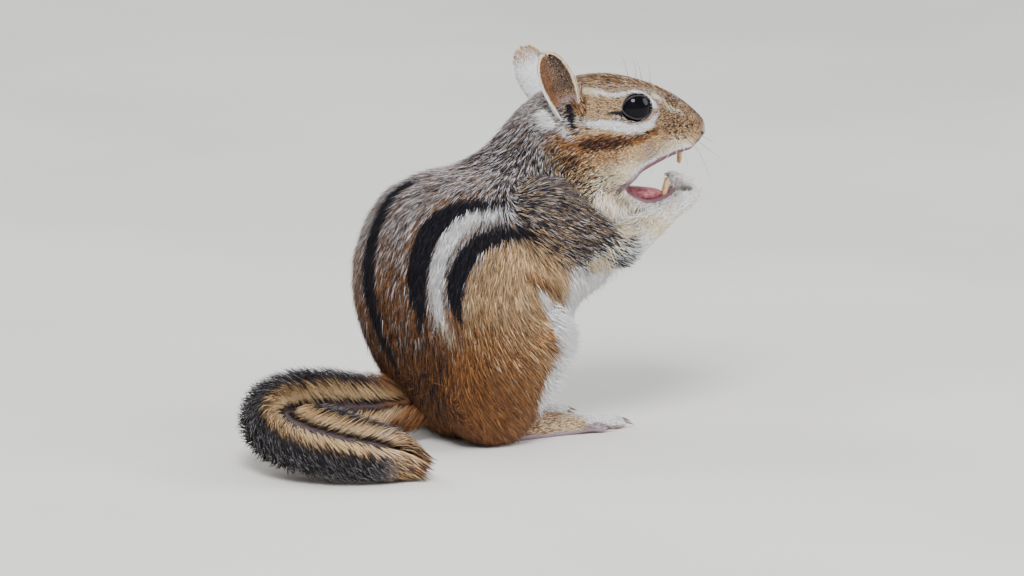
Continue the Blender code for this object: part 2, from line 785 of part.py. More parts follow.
def hind_foot(name, side):
    """The hind foot with five toes and claws, its sole flat on the floor."""
    pieces, claws = [foot_loft()], []
    for forward, sideways, length, turn, radius in TOES:
        angle = math.radians(turn)
        direction = Vector((math.cos(angle), math.sin(angle), 0))
        line, radii = [], []
        for share, swell, rise in ((0.0, 1.0, 0.2), (0.4, 0.95, 0.9), (0.7, 0.95, 0.5), (0.95, 0.95, -0.1)):
            line.append(Vector((forward, sideways, radius + rise)) + direction * (length * share))
            radii.append(radius * swell)
        pieces.append(tube("toe", line, radii, 8))
        start = line[-1] + Vector((0, 0, 0.45))
        claws.append(claw(start, direction, Vector((0, 0, -1.2)), CLAW_LENGTH + radius, 0.5))
    body = fused(name, pieces, 0.4, 2, FOOT_TRIANGLES)
    foot = join_by_union(name, [body] + claws)
    return cut_at_floor(move(foot, foot_frame(side)))


def hand_frame(side):
    """From the hand's own frame to the trunk's, in metres: +X along the palm, +Z out of its back."""
    wrist, knuckles, tips = (head_point(place, side) for place in (WRIST, KNUCKLES, FINGERTIPS))
    forward = (knuckles - wrist).normalized()
    grip = tips - knuckles
    upward = -(grip - forward * grip.dot(forward)).normalized()
    across = upward.cross(forward)
    turn = Matrix((forward, across, upward)).transposed().to_4x4()
    return Matrix.Translation(wrist * MM) @ turn


def hand(name, side):
    """The front paw: a short palm, four curled fingers and a thumb stub, with claws."""
    wrist, knuckles, tips = (Vector(place) for place in (WRIST, KNUCKLES, FINGERTIPS))
    palm_length = (knuckles - wrist).length
    finger_length = (tips - knuckles).length
    rings = []
    for share, wide, deep in ((-0.2, 0.8, 1.2), (0.1, 0.85, 1.2), (0.5, 1.0, 1.1), (0.95, 1.1, 0.95), (1.1, 0.8, 0.6)):
        across = Vector((0, PALM_HALF_WIDTH * wide, 0))
        upward = Vector((0, 0, PALM_HALF_DEPTH * deep))
        rings.append(ellipse_ring(Vector((palm_length * share, 0, 0)), across, upward, 14))
    pieces, claws = [closed_loft("palm", rings)], []
    for i, reach in enumerate(FINGER_REACH):
        place = i - 1.5
        length = finger_length * reach
        root = Vector((palm_length * 0.95, place * FINGER_SPREAD, 0.0))
        line = [
            root,
            root + Vector((length * 0.24, place * 0.15, -length * 0.18)),
            root + Vector((length * 0.24, place * 0.20, -length * 0.60)),
            root + Vector((-length * 0.04, place * 0.15, -length * 0.96)),
        ]
        pieces.append(tube("finger", line, [FINGER_RADIUS * s for s in (1.1, 1.05, 1.0, 0.9)], 10))
        direction = (line[3] - line[2]).normalized()
        start = line[3] + Vector((0.3, 0, 0.1))
        claws.append(claw(start, direction, Vector((-0.7, 0, 0)), 2.0, 0.4))
    inner = -side
    thumb = Vector((palm_length * 0.5, inner * PALM_HALF_WIDTH * 0.75, -0.8))
    pieces.append(tube("thumb", (thumb, thumb + Vector((1.0, inner * 0.4, -1.2))), (0.95, 0.7), 10))
    body = fused(name, pieces, 0.28, 2, PAW_TRIANGLES)
    return move(join_by_union(name, [body] + claws), hand_frame(side))


def tail_row(share):
    """The tail's middle, its way forward and its coat's half height at a share of its length."""
    position = share * (len(TAIL_LINE) - 1)

    def middle(place):
        x, y = blended(TAIL_LINE, place)
        (radius,) = blended([(value,) for value in TAIL_COAT], place)
        height = radius * 0.95 - 0.3
        height += (TAIL_ROOT_HEIGHT - height) * max(0.0, 1 - place / 2.2) ** 2
        return Vector((x, y, height)), radius

    last = len(TAIL_LINE) - 1
    ahead, behind = middle(min(last, position + 0.05))[0], middle(max(0.0, position - 0.05))[0]
    centre, radius = middle(position)
    return centre, (ahead - behind).normalized(), radius


def tail_span():
    """The length of the tail's middle line."""
    return sum((Vector(b) - Vector(a)).length for a, b in zip(TAIL_LINE, TAIL_LINE[1:]))


def tail_core(first, last):
    """The core of one length of the tail, between two shares of its line."""
    steps = max(3, round(20 * (last - first)))
    rings = []
    for step in range(steps + 1):
        centre, forward, radius = tail_row(first + (last - first) * step / steps)
        across = forward.cross(Vector((0, 0, 1))).normalized()
        upward = across.cross(forward)
        size = radius * CORE_SHARE
        rings.append(ellipse_ring(centre, across * size, upward * size, 10))
    return closed_loft("core", rings)


def tail_lock(share, angle, chance):
    """A flat tapered lock that leaves the core at this share and angle and bends back along the tail."""
    reach = LOCK_LENGTH * chance.uniform(0.85, 1.15) / tail_span()
    lean = chance.uniform(-0.25, 0.25)
    jut = chance.uniform(0.92, 1.06)
    lowest = chance.uniform(0.2, 0.8)
    root_share = CORE_SHARE * 0.6
    rings = []
    for along, wide, rise in LOCK_SHAPE:
        centre, forward, radius = tail_row(min(1.0, share + reach * along))
        across = forward.cross(Vector((0, 0, 1))).normalized()
        upward = across.cross(forward)
        turn = angle + lean * along
        out = across * math.cos(turn) + upward * math.sin(turn)
        middle = centre + out * (radius * (root_share + (jut - root_share) * rise))
        side = forward.cross(out) * (LOCK_WIDTH / 2 * wide)
        ring = [middle + side, middle + out * (LOCK_THICKNESS * wide), middle - side]
        lift = max(0.0, lowest - min(point.z for point in ring))
        rings.append([point + Vector((0, 0, lift)) for point in ring])
    tip = sum(rings.pop(), Vector()) / 3
    return closed_loft("lock", rings, tip)


def tail_locks():
    """Where every lock of the tail starts, as (share, angle, seed), in staggered rows."""
    chance = random.Random(LOCK_SEED)
    span = tail_span()
    rows = int((CORE_END * span - FIRST_LOCK_ROW) / LOCK_ROW_STEP) + 1
    places = []
    for row in range(rows):
        for i in range(LOCKS_ROUND):
            along = FIRST_LOCK_ROW + LOCK_ROW_STEP * (row + chance.uniform(-0.3, 0.3))
            angle = 2 * math.pi * (i + 0.5 * (row % 2) + chance.uniform(-0.2, 0.2)) / LOCKS_ROUND
            places.append((along / span, angle, chance.random()))
    return places


def tail_length(name, first, last):
    """One length of the tail: a core and the locks that lie over it, ended by a plane at each share."""
    span = tail_span()
    over = 1.0 / span
    pieces = [tail_core(max(0.0, first - over), min(CORE_END, last + over))]
    for share, angle, seed in tail_locks():
        if share < last and share + LOCK_LENGTH / span > first:
            pieces.append(tail_lock(share, angle, random.Random(seed)))
    body = join_by_union(name, pieces)
    if first > 0.0:
        centre, forward, _ = tail_row(first)
        boolean(body, half_space(centre, -forward, -GAP / 2), "DIFFERENCE", "MANIFOLD")
    if last < 1.0:
        centre, forward, _ = tail_row(last)
        boolean(body, half_space(centre, forward, -GAP / 2), "DIFFERENCE", "MANIFOLD")
    return body


def build_trunk():
    """The torso, neck, thighs and upper arms, parted from one another."""
    nodes = {}
    flesh = fused("torso", head_pieces() + [torso_piece()] + limb_pieces(), 1.0, 6, BODY_TRIANGLES)
    limbs = fused("limbs", [torso_piece()] + limb_pieces(), 1.0, 6, BODY_TRIANGLES)
    cut_at_floor(flesh)
    for side, tag in ((-1, "r"), (1, "l")):
        region = fused("region", leg_pieces(side, REGION_GROW), 1.4, 6, REGION_TRIANGLES)
        nodes["thigh_" + tag] = copy_of(flesh, "thigh_" + tag)
        cut_away(flesh, swollen(region, GAP, "room"))
        keep_within(nodes["thigh_" + tag], region)
        region = fused("region", arm_pieces(side, REGION_GROW, 6.0), 1.2, 4, REGION_TRIANGLES)
        nodes["upper_arm_" + tag] = copy_of(limbs, "upper_arm_" + tag)
        cut_away(flesh, swollen(region, GAP, "room"))
        keep_within(nodes["upper_arm_" + tag], region)
    remove(limbs)
    point, normal = head_plane()
    cut_away(flesh, half_space(point, normal, -GAP / 2))
    nodes["neck"] = split(flesh, NECK_PLANE_PLACE, NECK_PLANE_NORMAL, "neck")
    nodes["torso"] = flesh
    return nodes


def build_limb_ends(nodes, side, tag):
    """Parts the forearm from the upper arm and adds the hand and the hind foot."""
    shoulder, elbow, wrist = arm_points(side)
    arm = nodes["upper_arm_" + tag]
    for block in ("head", "lower_jaw"):
        cut_away(arm, swollen(nodes[block], GAP, "room"))
    forearm_way = (wrist - elbow).normalized()
    bend = forearm_way + (elbow - shoulder).normalized()
    forearm = split(arm, elbow + bend * 1.5, bend, "forearm_" + tag)
    palm_way = forearm_way + (head_point(KNUCKLES, side) - wrist).normalized()
    nodes["forearm_" + tag] = cut_away(forearm, half_space(wrist, palm_way, -GAP / 2))
    paw = hand("hand_" + tag, side)
    nodes["hand_" + tag] = keep_within(paw, half_space(wrist, palm_way, GAP / 2))
    nodes["hind_foot_" + tag] = hind_foot("hind_foot_" + tag, side)
    for name in ("thigh_" + tag, "torso"):
        cut_away(nodes[name], move(foot_loft(GAP), foot_frame(side)))


def build_face(nodes):
    """The head and everything that sits in it."""
    head = build_head()
    jaw = take_jaw(head)
    nodes["head"], nodes["lower_jaw"] = head, jaw
    for side, tag in ((-1, "r"), (1, "l")):
        nodes["ear_" + tag] = cut_away(ear("ear_" + tag, side), swollen(head, GAP, "room"))
        eye = ball("eye_" + tag, mirrored(EYE_PLACE, side), (EYE_RADIUS,) * 3, 0.0, 16, 9)
        nodes["eye_" + tag] = move(eye, head_matrix())
    nodes["incisors_upper"] = incisors(UPPER_INCISOR_ROOT, UPPER_INCISOR_TIP)
    cut_away(head, incisors(UPPER_INCISOR_ROOT, UPPER_INCISOR_TIP, GAP))
    nodes["incisors_lower"] = incisors(LOWER_INCISOR_ROOT, LOWER_INCISOR_TIP)
    cut_away(jaw, incisors(LOWER_INCISOR_ROOT, LOWER_INCISOR_TIP, GAP))
    nodes["tongue"] = move(profile_loft("tongue", TONGUE_STATIONS, 12, 1), head_matrix())
    for holder in (head, jaw):
        cut_away(holder, move(profile_loft("room", TONGUE_STATIONS, 12, 1, GAP), head_matrix()))


def build_tail(nodes):
    """The tail in lengths, the first one met by the rump."""
    for i, (first, last) in enumerate(zip(TAIL_SHARES, TAIL_SHARES[1:])):
        name = f"tail_{i + 1}"
        nodes[name] = tail_length(name, first, last)
    cut_away(nodes["tail_1"], swollen(nodes["torso"], GAP, "room"))


def centre_on_origin(things):
    """Moves every node alike so that the middle of the whole lies over the origin."""
    corners = [vertex.co for thing in things for vertex in thing.data.vertices]
    shift = Vector((0, 0, 0))
    for axis in (0, 1):
        values = [corner[axis] for corner in corners]
        shift[axis] = -(min(values) + max(values)) / 2
    for thing in things:
        move(thing, Matrix.Translation(shift))


def build():
    """Builds every node, then centres the whole."""
    clear_scene()
    nodes = {}
    build_face(nodes)
    nodes.update(build_trunk())
    for side, tag in ((-1, "r"), (1, "l")):
        build_limb_ends(nodes, side, tag)
    build_tail(nodes)
    centre_on_origin(list(nodes.values()))
    for name, thing in nodes.items():
        finish_node(name, thing)


if __name__ == "__main__":
    build()
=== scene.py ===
"""The coat, face and paws of a sitting chipmunk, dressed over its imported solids.

One skin takes the place of the solids of flesh and lies inside them by the depth of the coat. Tufts of
solid hair grow from it along the lie of the coat. Skin and coat carry the same markings.
Sizes in the tables are millimetres and degrees, and are turned into metres as they are used.
"""

import logging
import math
from dataclasses import dataclass, field
from enum import Enum
from typing import Any, Sequence

import bmesh
import bpy
import numpy as np
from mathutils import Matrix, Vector
from mathutils.bvhtree import BVHTree
from mathutils.kdtree import KDTree


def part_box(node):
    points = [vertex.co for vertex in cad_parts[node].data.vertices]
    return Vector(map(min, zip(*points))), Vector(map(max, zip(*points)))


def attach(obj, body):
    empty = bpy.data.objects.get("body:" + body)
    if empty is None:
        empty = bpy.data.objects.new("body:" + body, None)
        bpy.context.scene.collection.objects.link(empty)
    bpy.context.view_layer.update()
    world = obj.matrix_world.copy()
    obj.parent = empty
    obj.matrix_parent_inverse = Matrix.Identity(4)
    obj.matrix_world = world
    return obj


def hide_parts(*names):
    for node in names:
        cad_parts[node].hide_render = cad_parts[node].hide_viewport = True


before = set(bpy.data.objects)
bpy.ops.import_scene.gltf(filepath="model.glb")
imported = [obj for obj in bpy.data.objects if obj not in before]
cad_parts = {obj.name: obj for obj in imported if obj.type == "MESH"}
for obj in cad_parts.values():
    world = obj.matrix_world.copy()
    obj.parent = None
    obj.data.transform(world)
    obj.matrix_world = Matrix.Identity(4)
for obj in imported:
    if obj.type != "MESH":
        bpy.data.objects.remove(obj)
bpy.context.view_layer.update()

log = logging.getLogger("chipmunk")

MM = 0.001
COAT_UV = "OFBake"
PIECE_TRIANGLES = 190_000
TUFT_PATCH = 0.003

# The head's place and turn in the trunk's frame, and the eye's place in the head's frame
HEAD_PLACE = (29.8, -3.0, 74.0)
HEAD_YAW, HEAD_ROLL = -17.0, -4.0
EYE_PLACE = (4.3, 8.0, 6.6)
EYE_RADIUS = 4.6
EYE_AIM = (0.12, 1.0, 0.06)
LID_OPENING = (3.85, 3.15)
NOSE_PLACE = (24.0, 0.0, -0.6)
NOSE_SIZE = (2.2, 2.6, 2.4)

Array = np.ndarray
Chance = np.random.Generator
Material, Mesh, Thing = bpy.types.Material, bpy.types.Mesh, bpy.types.Object
Point = tuple[float, float, float]


@dataclass(frozen=True)
class RegionCoat:
    """How one region is covered: sizes in millimetres, lift in degrees, tufts per square millimetre."""

    solids: tuple[str, ...]
    ease: float
    depth: float
    length: float
    width: float
    lift: float
    density: float


class Region(Enum):
    """The parts of the body that the skin covers."""

    HEAD = RegionCoat(("head",), 0.5, 0.7, 2.6, 0.21, 19.0, 15.0)
    JAW = RegionCoat(("lower_jaw",), 0.4, 0.5, 2.6, 0.21, 22.0, 15.0)
    NECK = RegionCoat(("neck",), 1.0, 1.5, 4.6, 0.24, 22.0, 14.0)
    TORSO = RegionCoat(("torso",), 1.0, 1.8, 6.0, 0.26, 18.0, 10.9)
    THIGH = RegionCoat(("thigh_r", "thigh_l"), 1.0, 1.6, 5.6, 0.26, 18.0, 11.0)
    UPPER_ARM = RegionCoat(("upper_arm_r", "upper_arm_l"), 0.9, 1.3, 4.4, 0.24, 18.0, 14.0)
    FOREARM = RegionCoat(("forearm_r", "forearm_l"), 0.6, 0.6, 2.8, 0.23, 18.0, 14.0)
    HAND = RegionCoat(("hand_r", "hand_l"), 0.1, 0.15, 1.3, 0.19, 20.0, 14.0)
    FOOT = RegionCoat(("hind_foot_r", "hind_foot_l"), 0.1, 0.2, 1.3, 0.21, 13.0, 12.0)
    TAIL = RegionCoat((), 0.5, 0.3, 0.0, 0.0, 0.0, 0.0)


REGIONS = list(Region)


def share_of(weights: Array, *regions: Region) -> Array:
    """Each point's share in some regions together."""
    return weights[:, [REGIONS.index(region) for region in regions]].sum(1)


def by_region(quality: str) -> Array:
    """One quality of every region's coat, in the regions' order."""
    return np.array([getattr(region.value, quality) for region in REGIONS])


class Layer(Enum):
    """The colours of the markings, in the order in which they lie over the grizzled ground."""

    BUFF = "buff"
    RUST = "rust"
    CREAM = "cream"
    WHITE = "white"
    GREY = "grey"
    BLACK = "black"
    PINK = "pink"


class Home(Enum):
    """The frame in which the points of a marking are given."""

    TRUNK = "trunk"
    HEAD = "head"


BUFF, RUST, CREAM, WHITE, GREY, BLACK, PINK = Layer
TRUNK, HEAD = Home


def blank_numbers(count: int) -> dict[str, Array]:
    """Nothing of any layer, of the tail's bands or of the place across them."""
    return {name: np.zeros(count) for name in [layer.value for layer in Layer] + ["tail", "band"]}


def unit(vectors: Array) -> Array:
    """Vectors made one long."""
    return vectors / np.maximum(np.linalg.norm(vectors, axis=-1, keepdims=True), 1e-12)


def laid(ways: Array, normals: Array) -> Array:
    """Ways laid on the surface and made one long."""
    return unit(ways - normals * (ways * normals).sum(1, keepdims=True))


def smoothstep(low: Any, high: Any, value: Any) -> Array:
    """A soft step from 0 at low to 1 at high, which may lie below low."""
    t = np.clip((np.asarray(value) - low) / (np.asarray(high) - low), 0.0, 1.0)
    return t * t * (3.0 - 2.0 * t)


def folded(points: Array, side: float = -1.0) -> Array:
    """Points with both sides laid on one: -1 for the right, 1 for the left."""
    rows = points.copy()
    rows[:, 1] = side * np.abs(rows[:, 1])
    return rows


def rotation_z(degrees: float) -> Array:
    """A turn about the upright axis as a 3 by 3 matrix."""
    c, s = math.cos(math.radians(degrees)), math.sin(math.radians(degrees))
    return np.array([[c, -s, 0.0], [s, c, 0.0], [0.0, 0.0, 1.0]])


def rotation_x(degrees: float) -> Array:
    """A turn about the forward axis as a 3 by 3 matrix."""
    c, s = math.cos(math.radians(degrees)), math.sin(math.radians(degrees))
    return np.array([[1.0, 0.0, 0.0], [0.0, c, -s], [0.0, s, c]])


def blended(rows: Array, position: float) -> Array:
    """Reads a table at a fractional row number, along a smooth curve through its rows.

    Args:
        rows: The table.
        position: The row number.

    Returns:
        The row at that number.
    """
    last = len(rows) - 1
    index = max(0, min(int(position), last - 1))
    t = position - index
    a, b, c, d = (np.asarray(rows[max(0, min(last, index + step))], float) for step in (-1, 0, 1, 2))
    return 0.5 * (2 * b + (c - a) * t + (2 * a - 5 * b + 4 * c - d) * t**2 + (3 * b - a - 3 * c + d) * t**3)


def sampled(rows: Sequence[Sequence[float]], per_gap: int) -> Array:
    """The rows of a table, with smooth rows added between them."""
    steps = (len(rows) - 1) * per_gap
    return np.array([blended(rows, step / per_gap) for step in range(steps + 1)])


def placed(name: str, data: bpy.types.ID) -> Thing:
    """A new object of the scene, made from its data."""
    thing = bpy.data.objects.new(name, data)
    bpy.context.scene.collection.objects.link(thing)
    return thing


def carry(mesh: Mesh, numbers: dict[str, Array]) -> None:
    """Gives a mesh numbers at its points, by name."""
    for key, values in numbers.items():
        mesh.attributes.new(key, "FLOAT", "POINT").data.foreach_set("value", values.astype(np.float32))


@dataclass(frozen=True)
class Frames:
    """How the trunk's frame, the head's frame and the scene's frame lie to one another, in millimetres."""

    shift: Array
    turn: Array
    place: Array

    @classmethod
    def from_solids(cls) -> "Frames":
        """Finds the scene's frame from where the right eye lies in it.

        Returns:
            The frames.
        """
        turn = rotation_z(HEAD_YAW) @ rotation_x(HEAD_ROLL)
        place = np.array(HEAD_PLACE)
        low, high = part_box("eye_r")
        middle = (np.array(low) + np.array(high)) / (2 * MM)
        x, y, z = EYE_PLACE
        shift = middle - (turn @ np.array([x, -y, z]) + place)
        shift[2] = 0.0
        return cls(shift, turn, place)

    def from_head(self, points: Any, side: int = 1) -> Array:
        """Points of the head's frame in the trunk's frame, mirrored to the right where side is -1."""
        mirrored = np.asarray(points, float) * np.array([1.0, side, 1.0])
        return mirrored @ self.turn.T + self.place

    def to_head(self, points: Array) -> Array:
        """Points of the trunk's frame in the head's frame."""
        return (points - self.place) @ self.turn

    def to_scene(self, points: Array) -> Array:
        """Points of the trunk's frame in the scene, in metres."""
        return (points + self.shift) * MM

    def from_scene(self, points: Array) -> Array:
        """Points of the scene in the trunk's frame."""
        return points / MM - self.shift


@dataclass(eq=False)
class Socket:
    """A shader value that takes part in sums, and the node sheet it belongs to."""

    sheet: "Sheet"
    socket: bpy.types.NodeSocket

    def __add__(self, other: Any) -> "Socket":
        """The sum."""
        return self.sheet.maths("ADD", self, other)

    __radd__ = __add__

    def __mul__(self, other: Any) -> "Socket":
        """The product."""
        return self.sheet.maths("MULTIPLY", self, other)

    __rmul__ = __mul__

    def __sub__(self, other: Any) -> "Socket":
        """The difference."""
        return self.sheet.maths("SUBTRACT", self, other)

    def __rsub__(self, other: Any) -> "Socket":
        """The difference the other way round."""
        return self.sheet.maths("SUBTRACT", other, self)

    def __truediv__(self, other: Any) -> "Socket":
        """The quotient."""
        return self.sheet.maths("DIVIDE", self, other)


class Sheet:
    """The node sheet of one material."""

    def __init__(self, name: str) -> None:
        """Starts a material with a plain shader.

        Args:
            name: The material's name.
        """
        self.material = bpy.data.materials.new(name)
        self.material.use_nodes = True
        self.tree = self.material.node_tree
        self.shader = self.tree.nodes["Principled BSDF"]

    def node(self, kind: str, settings: dict[str, Any], inputs: dict[Any, Any], output: Any = 0) -> Socket:
        """Adds any node.

        Args:
            kind: The node's type.
            settings: Its properties; stops are the rows of a colour ramp.
            inputs: Values or links by socket.
            output: The socket it gives back.

        Returns:
            The chosen output.
        """
        made = self.tree.nodes.new(kind)
        for key, value in settings.items():
            if key == "stops":
                self.set_stops(made.color_ramp, value)
            else:
                setattr(made, key, value)
        for key, value in inputs.items():
            self.feed(made.inputs[key], value)
        return Socket(self, made.outputs[output])

    def set_stops(self, ramp: bpy.types.ColorRamp, stops: Sequence[tuple[float, Point]]) -> None:
        """Gives a colour ramp its stops.

        Args:
            ramp: The colour ramp.
            stops: Places from 0 to 1 with their colours.
        """
        while len(ramp.elements) < len(stops):
            ramp.elements.new(1.0)
        for element, (place, colour) in zip(ramp.elements, stops):
            element.position = place
            element.color = (*colour, 1.0)

    def feed(self, socket: bpy.types.NodeSocket, value: Any) -> None:
        """Links a socket or sets its value.

        Args:
            socket: The socket to feed.
            value: A link, a colour or a number.
        """
        if isinstance(value, Socket):
            self.tree.links.new(value.socket, socket)
        elif isinstance(value, tuple) and len(value) == 3 and socket.type == "RGBA":
            socket.default_value = (*value, 1.0)
        else:
            socket.default_value = value

    def maths(self, operation: str, *values: Any) -> Socket:
        """A Math node over values."""
        return self.node("ShaderNodeMath", {"operation": operation}, dict(enumerate(values)))

    def mix(self, factor: Any, first: Any, second: Any, how: str = "MIX") -> Socket:
        """Mixes two colours."""
        settings = {"data_type": "RGBA", "blend_type": how, "clamp_factor": True}
        return self.node("ShaderNodeMix", settings, {0: factor, 6: first, 7: second}, 2)

    def step(self, low: float, high: float, value: Any) -> Socket:
        """A soft step from 0 at low to 1 at high."""
        settings = {"interpolation_type": "SMOOTHSTEP", "clamp": True}
        return self.node("ShaderNodeMapRange", settings, {"Value": value, "From Min": low, "From Max": high})

    def attribute(self, name: str) -> Socket:
        """A number that the mesh carries at its points."""
        settings = {"attribute_type": "GEOMETRY", "attribute_name": name}
        return self.node("ShaderNodeAttribute", settings, {}, "Fac")

    def noise(self, scale: float, detail: float = 2.0, stretch: Point = (1.0, 1.0, 1.0)) -> Socket:
        """Noise over the object's own space, with its scale per metre."""
        place = self.node("ShaderNodeTexCoord", {}, {}, "Object")
        turned = self.node("ShaderNodeMapping", {}, {"Vector": place, "Scale": stretch})
        return self.node("ShaderNodeTexNoise", {}, {"Vector": turned, "Scale": scale, "Detail": detail})

    def surface(self, **inputs: Any) -> Material:
        """Feeds the shader's sockets and gives back the material.

        Args:
            **inputs: Values or links; an underscore stands for a space in a socket's name.

        Returns:
            The material.
        """
        for key, value in inputs.items():
            self.feed(self.shader.inputs[key.replace("_", " ")], value)
        return self.material

    def bump(self, height: Socket, strength: float, distance: float) -> Socket:
        """A Bump node over a height."""
        return self.node("ShaderNodeBump", {}, {"Height": height, "Strength": strength, "Distance": distance})


def linear(red: float, green: float, blue: float) -> Point:
    """A colour as seen on a screen, 0 to 255, as the light it stands for."""
    shown = np.array([red, green, blue]) / 255.0
    return tuple(np.where(shown <= 0.04045, shown / 12.92, ((shown + 0.055) / 1.055) ** 2.4).tolist())


@dataclass(frozen=True)
class Tone:
    """A deep and a bright shade between which the tufts of one colour vary."""

    deep: Point
    bright: Point


@dataclass(frozen=True)
class CoatFinish:
    """The fur's colours, shared by the skin and every tuft."""

    dark_hair: Point = linear(54, 48, 52)
    brown_hair: Point = linear(148, 128, 114)
    pale_hair: Point = linear(212, 208, 212)
    tones: dict[Layer, Tone] = field(
        default_factory=lambda: {
            BUFF: Tone(linear(170, 132, 92), linear(240, 208, 164)),
            RUST: Tone(linear(94, 54, 28), linear(180, 124, 74)),
            CREAM: Tone(linear(220, 200, 166), linear(252, 242, 216)),
            WHITE: Tone(linear(226, 224, 226), linear(254, 254, 254)),
            GREY: Tone(linear(128, 108, 118), linear(186, 168, 174)),
            BLACK: Tone(linear(13, 12, 18), linear(46, 43, 54)),
            PINK: Tone(linear(98, 66, 76), linear(140, 104, 114)),
        }
    )
    ticked: tuple[Layer, ...] = (BUFF, RUST)
    tail_stops: tuple[tuple[float, Point], ...] = (
        (0.0, linear(66, 54, 64)),
        (0.09, linear(84, 70, 72)),
        (0.17, linear(220, 192, 152)),
        (0.50, linear(202, 166, 120)),
        (0.62, linear(60, 50, 46)),
        (0.72, linear(34, 30, 32)),
        (1.0, linear(30, 28, 32)),
    )
    root_shade: float = 0.62
    roughness: float = 0.6
    specular: float = 0.25
    softness: float = 0.14
    reach: float = 0.72
    tick_depth: float = 0.75
    frost_depth: float = 0.8
    band_wander: float = 0.26

    def ground(self, sheet: Sheet, along: Socket, chance: Socket, second: Socket) -> Socket:
        """The ground colour: hairs dark at the root, banded brown or pale, and many dark at the tip.

        Args:
            sheet: The material's nodes.
            along: The share along each hair.
            chance: The hair's own number from 0 to 1.
            second: Another such number.

        Returns:
            The colour.
        """
        band = sheet.mix(sheet.step(0.46, 0.60, chance), self.brown_hair, self.pale_hair)
        colour = sheet.mix(sheet.step(0.18, 0.34, along), self.dark_hair, band)
        tip = sheet.step(0.72, 0.86, along) * sheet.step(0.30, 0.42, second)
        guard = sheet.step(0.83, 0.87, second)
        return sheet.mix(sheet.maths("MAXIMUM", tip, guard), colour, self.dark_hair)

    def material(self) -> Material:
        """Builds the fur's material.

        Returns:
            The material.
        """
        sheet = Sheet("fur")
        along, chance = sheet.attribute("along"), sheet.attribute("chance")
        second = sheet.maths("FRACT", chance * 7.31)
        colour = self.ground(sheet, along, chance, second)
        ticks = sheet.step(0.74, 0.78, sheet.maths("FRACT", chance * 13.7)) * sheet.step(0.45, 0.65, along)
        ticks = ticks * self.tick_depth
        for number, (layer, tone) in enumerate(self.tones.items()):
            shade = sheet.mix(second, tone.deep, tone.bright)
            if layer in self.ticked:
                shade = sheet.mix(ticks, shade, self.dark_hair)
            own = sheet.maths("FRACT", chance * (3.17 + 2.41 * number))
            strength = sheet.attribute(layer.value) - own * self.reach - self.softness
            amount = sheet.step(-self.softness, self.softness, strength)
            colour = sheet.mix(amount, colour, shade)
        band = sheet.attribute("band") + (second - 0.5) * self.band_wander
        tail = sheet.node("ShaderNodeValToRGB", {"stops": self.tail_stops}, {"Fac": band})
        tail = sheet.mix(ticks, tail, self.dark_hair)
        frost = sheet.step(0.80, 0.92, along) * sheet.step(0.50, 0.56, second) * sheet.step(0.45, 0.75, band)
        tail = sheet.mix(frost * self.frost_depth, tail, self.pale_hair)
        colour = sheet.mix(sheet.attribute("tail"), colour, tail)
        lit = self.root_shade + (1.0 - self.root_shade) * sheet.step(0.0, 0.45, along)
        light = sheet.node("ShaderNodeCombineColor", {}, {0: lit, 1: lit, 2: lit})
        shade = sheet.mix(1.0, colour, light, "MULTIPLY")
        return sheet.surface(Base_Color=shade, Roughness=self.roughness, Specular_IOR_Level=self.specular)


@dataclass(frozen=True)
class SurfaceFinish:
    """A plain living surface, such as an eye, a claw or a tooth: two shades mixed by noise."""

    name: str
    deep: Point
    bright: Point
    scale: float
    roughness: float
    coat: float = 0.0
    relief: float = 0.0
    scatter: float = 0.0
    shine: float = 0.5

    def material(self) -> Material:
        """Builds the material.

        Returns:
            The material.
        """
        sheet = Sheet(self.name)
        noise = sheet.noise(self.scale, 4.0)
        inputs: dict[str, Any] = {
            "Base_Color": sheet.mix(sheet.step(0.35, 0.65, noise), self.deep, self.bright),
            "Roughness": sheet.step(0.0, 1.0, noise) * (self.roughness * 0.3) + self.roughness * 0.85,
            "Coat_Weight": self.coat,
            "Specular_IOR_Level": self.shine,
            "Subsurface_Weight": self.scatter,
            "Subsurface_Radius": (0.002, 0.001, 0.0006),
        }
        if self.relief:
            inputs["Normal"] = sheet.bump(sheet.noise(self.scale * 3.0, 5.0), 0.6, self.relief)
        return sheet.surface(**inputs)


EYE_GLOSS = SurfaceFinish("eye_gloss", linear(4, 4, 8), linear(12, 10, 16), 300.0, 0.06, shine=0.13)
LID_SKIN_AND_NOSTRIL_SHADE = SurfaceFinish("lid_skin", linear(16, 13, 17), linear(38, 32, 40), 3000.0, 0.45, relief=0.00006)
TONGUE_FLESH = SurfaceFinish("tongue_flesh", linear(150, 80, 86), linear(190, 122, 126), 1200.0, 0.3, relief=1e-4)
NOSE_SKIN = SurfaceFinish("nose_skin", linear(132, 104, 116), linear(184, 152, 160), 2500.0, 0.42, relief=8e-5)
TOOTH = SurfaceFinish("tooth", linear(206, 158, 92), linear(238, 206, 150), 500.0, 0.22, coat=0.3)
CLAW_HORN = SurfaceFinish("claw_horn", linear(84, 70, 62), linear(146, 126, 108), 900.0, 0.35)
WHISKER_BLACK = SurfaceFinish("whisker_black", linear(14, 12, 12), linear(36, 30, 28), 900.0, 0.4)
WHISKER_WHITE = SurfaceFinish("whisker_white", linear(206, 202, 198), linear(244, 242, 238), 900.0, 0.4)
PALE_FLOOR = SurfaceFinish("pale_floor", linear(222, 220, 214), linear(230, 228, 223), 6.0, 0.7)


